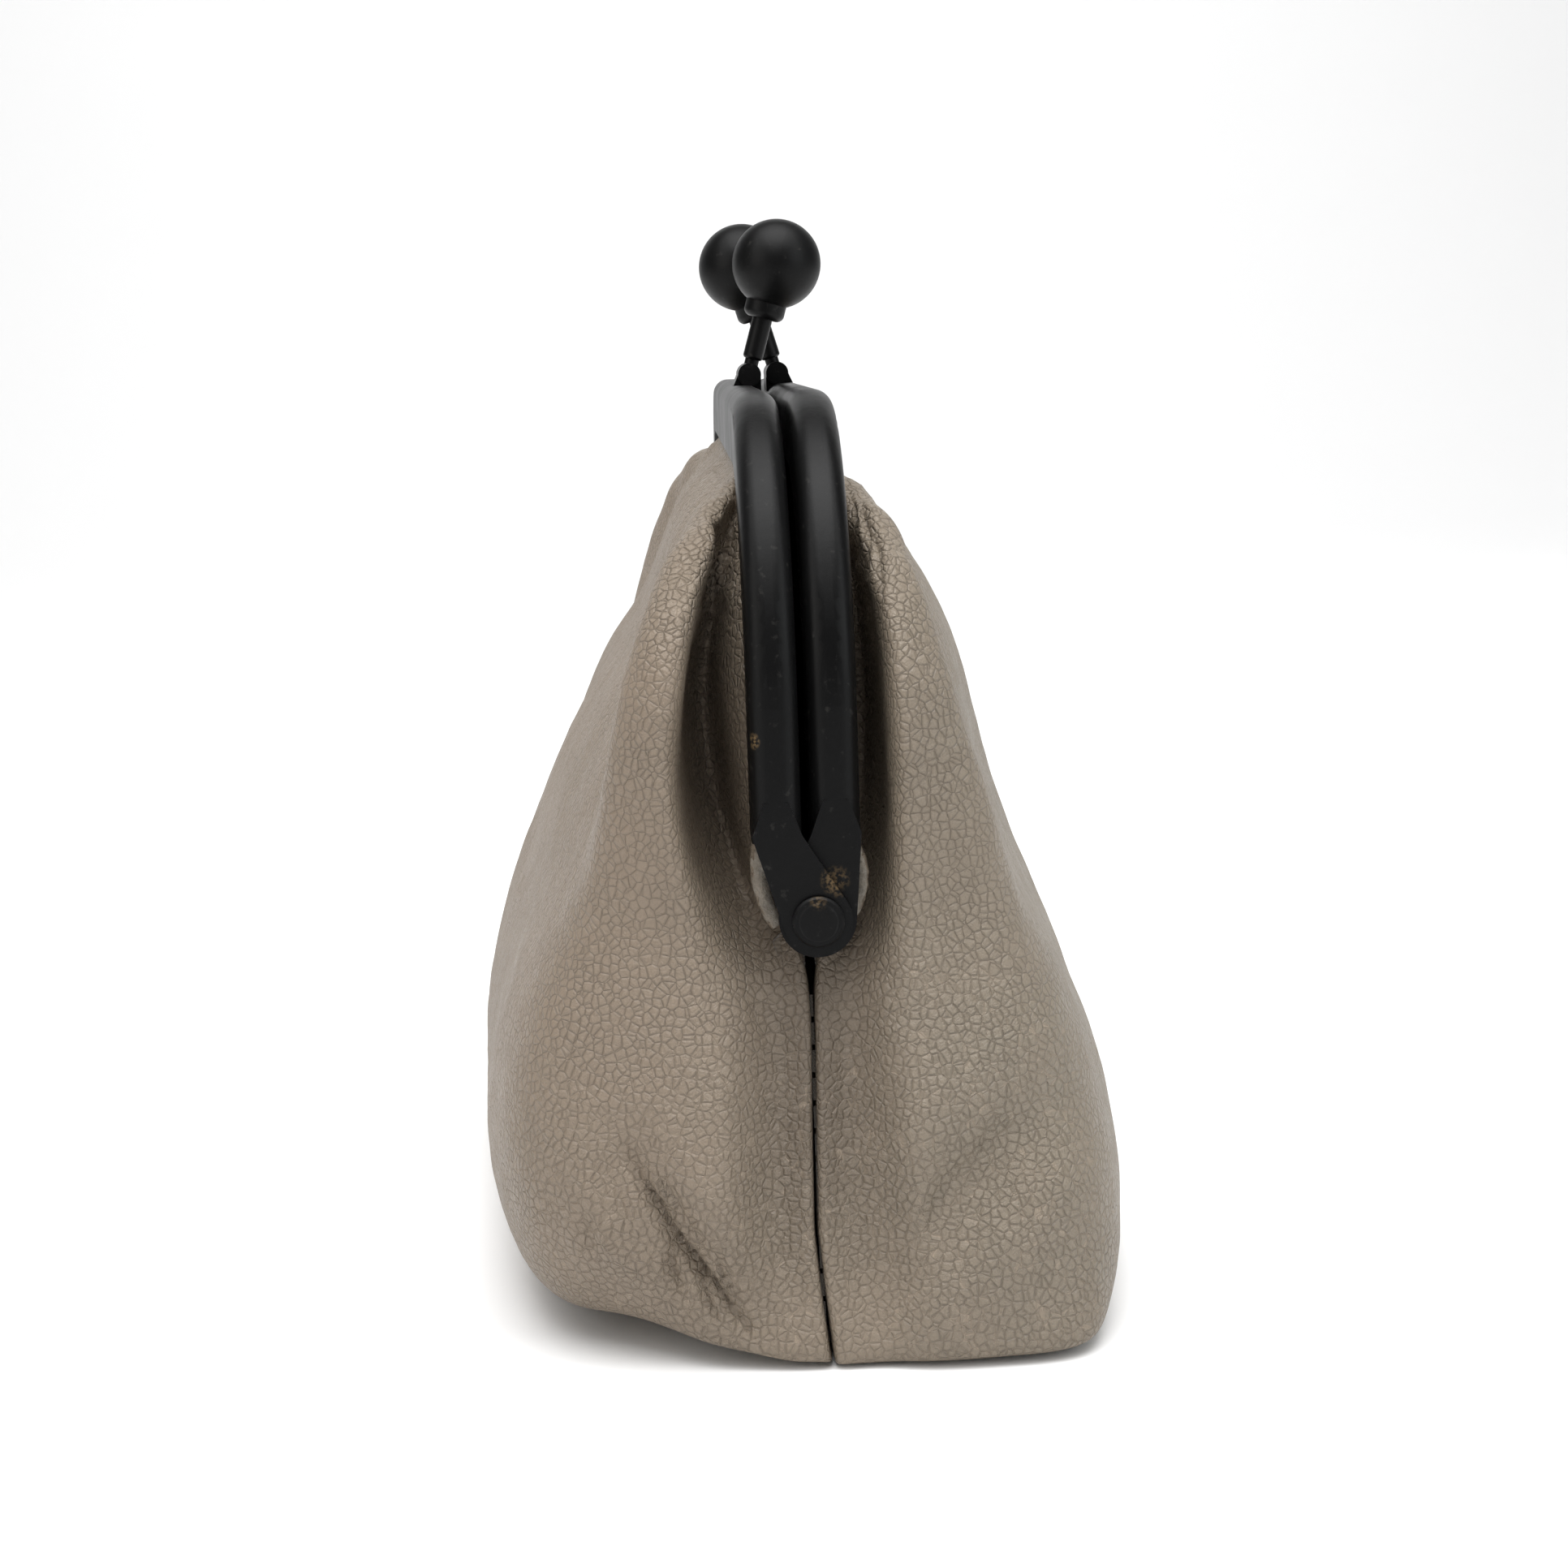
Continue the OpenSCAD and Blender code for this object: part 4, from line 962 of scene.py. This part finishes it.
class PURSE_OT_stage(bpy.types.Operator):
    """Sets the pale paper sweep, the soft lights and the camera"""

    bl_idname = "purse.stage"
    bl_label = "Stage"

    def execute(self, context):
        settings = context.scene.purse_stage
        mesh = bpy.data.meshes.new("paper_sweep")
        bm = bmesh.new()
        bmesh.ops.create_grid(bm, x_segments=48, y_segments=4, size=3.0)
        for vertex in bm.verts:
            # The paper lies flat under the purse and sweeps up behind it.
            behind = max(0.0, -1.0 - vertex.co.x)
            turn = min(behind, 1.4)
            vertex.co.z = 0.9 * (1 - np.cos(turn / 0.9)) + max(0.0, behind - 1.4)
            vertex.co.x = max(vertex.co.x, -1.0) - 0.9 * np.sin(turn / 0.9)
        for face in bm.faces:
            face.smooth = True
        bm.to_mesh(mesh)
        bm.free()
        floor = bpy.data.objects.new("paper_sweep", mesh)
        context.scene.collection.objects.link(floor)
        mesh.materials.append(stage_material("pale_paper", settings.floor_colour))
        context.scene.view_settings.view_transform = "Standard"
        soft_light("overhead_light", (0.3, 0.0, 1.0), (0.05, 0.0, 0.05), (0.8, 0.8), settings.key_power)
        soft_light("front_light", (0.9, -0.08, 0.9), (0.08, 0.0, 0.06), (0.45, 0.45), settings.front_power)
        soft_light("left_light", (0.64, -0.82, 0.42), (0.05, 0.0, 0.06), (0.7, 0.7), settings.fill_power * 0.85,
                   (1.0, 0.975, 0.94))
        soft_light("right_light", (0.6, 0.85, 0.42), (0.05, 0.0, 0.06), (0.7, 0.7), settings.fill_power,
                   (0.95, 0.985, 1.0))
        soft_light("backdrop_light", (-0.4, 0.0, 1.5), (-1.9, 0.0, 0.35), (1.6, 2.4), settings.backdrop_power)
        world = bpy.data.worlds.new("studio")
        context.scene.world = world
        world.use_nodes = True
        sky = world.node_tree.nodes["Background"]
        sky.inputs["Color"].default_value = (1.0, 1.0, 1.0, 1.0)
        sky.inputs["Strength"].default_value = settings.sky
        camera = bpy.data.cameras.new("photo_camera")
        camera.sensor_fit = "HORIZONTAL"
        camera.sensor_width = 36.0
        camera.lens = FOCAL_PIXELS / PHOTO_SIZE * 36.0
        camera.clip_start = 0.01
        eye = bpy.data.objects.new("photo_camera", camera)
        context.scene.collection.objects.link(eye)
        back = Vector(-CAMERA_AHEAD).normalized()
        right = Vector(CAMERA_RIGHT)
        right = (right - back * right.dot(back)).normalized()
        up = back.cross(right)
        turn = Matrix((right, up, back)).transposed()
        eye.matrix_world = Matrix.Translation(Vector(metres(CAMERA_PLACE))) @ turn.to_4x4()
        context.scene.camera = eye
        return {"FINISHED"}


class PURSE_PT_panel(bpy.types.Panel):
    bl_label = "Kiss Lock Purse"
    bl_idname = "PURSE_PT_panel"
    bl_space_type = "VIEW_3D"
    bl_region_type = "UI"
    bl_category = "Purse"

    def draw(self, context):
        scene = context.scene
        for title, group, operators in (
            ("Leather", scene.purse_leather, ("purse.leather", "purse.lobes", "purse.lining", "purse.cords")),
            ("Metal", scene.purse_metal, ("purse.frame",)),
            ("Stage", scene.purse_stage, ("purse.stage",)),
        ):
            box = self.layout.box()
            box.label(text=title)
            for name in group.__annotations__:
                box.prop(group, name)
            for operator in operators:
                box.operator(operator)


GROUPS = (("purse_leather", PURSE_PG_leather), ("purse_metal", PURSE_PG_metal), ("purse_stage", PURSE_PG_stage))
CLASSES = (PURSE_OT_leather, PURSE_OT_lobes, PURSE_OT_lining, PURSE_OT_frame, PURSE_OT_cords, PURSE_OT_stage,
           PURSE_PT_panel)


def register():
    for name, group in GROUPS:
        bpy.utils.register_class(group)
        setattr(bpy.types.Scene, name, bpy.props.PointerProperty(type=group))
    for kind in CLASSES:
        bpy.utils.register_class(kind)


def unregister():
    for kind in reversed(CLASSES):
        bpy.utils.unregister_class(kind)
    for name, group in reversed(GROUPS):
        delattr(bpy.types.Scene, name)
        bpy.utils.unregister_class(group)


def main():
    register()
    pebble_group()
    mottle_group()
    scuff_group()
    bpy.ops.purse.leather()
    bpy.ops.purse.lobes()
    bpy.ops.purse.lining()
    bpy.ops.purse.frame()
    bpy.ops.purse.cords()
    bpy.ops.purse.stage()


if __name__ == "__main__":
    main()
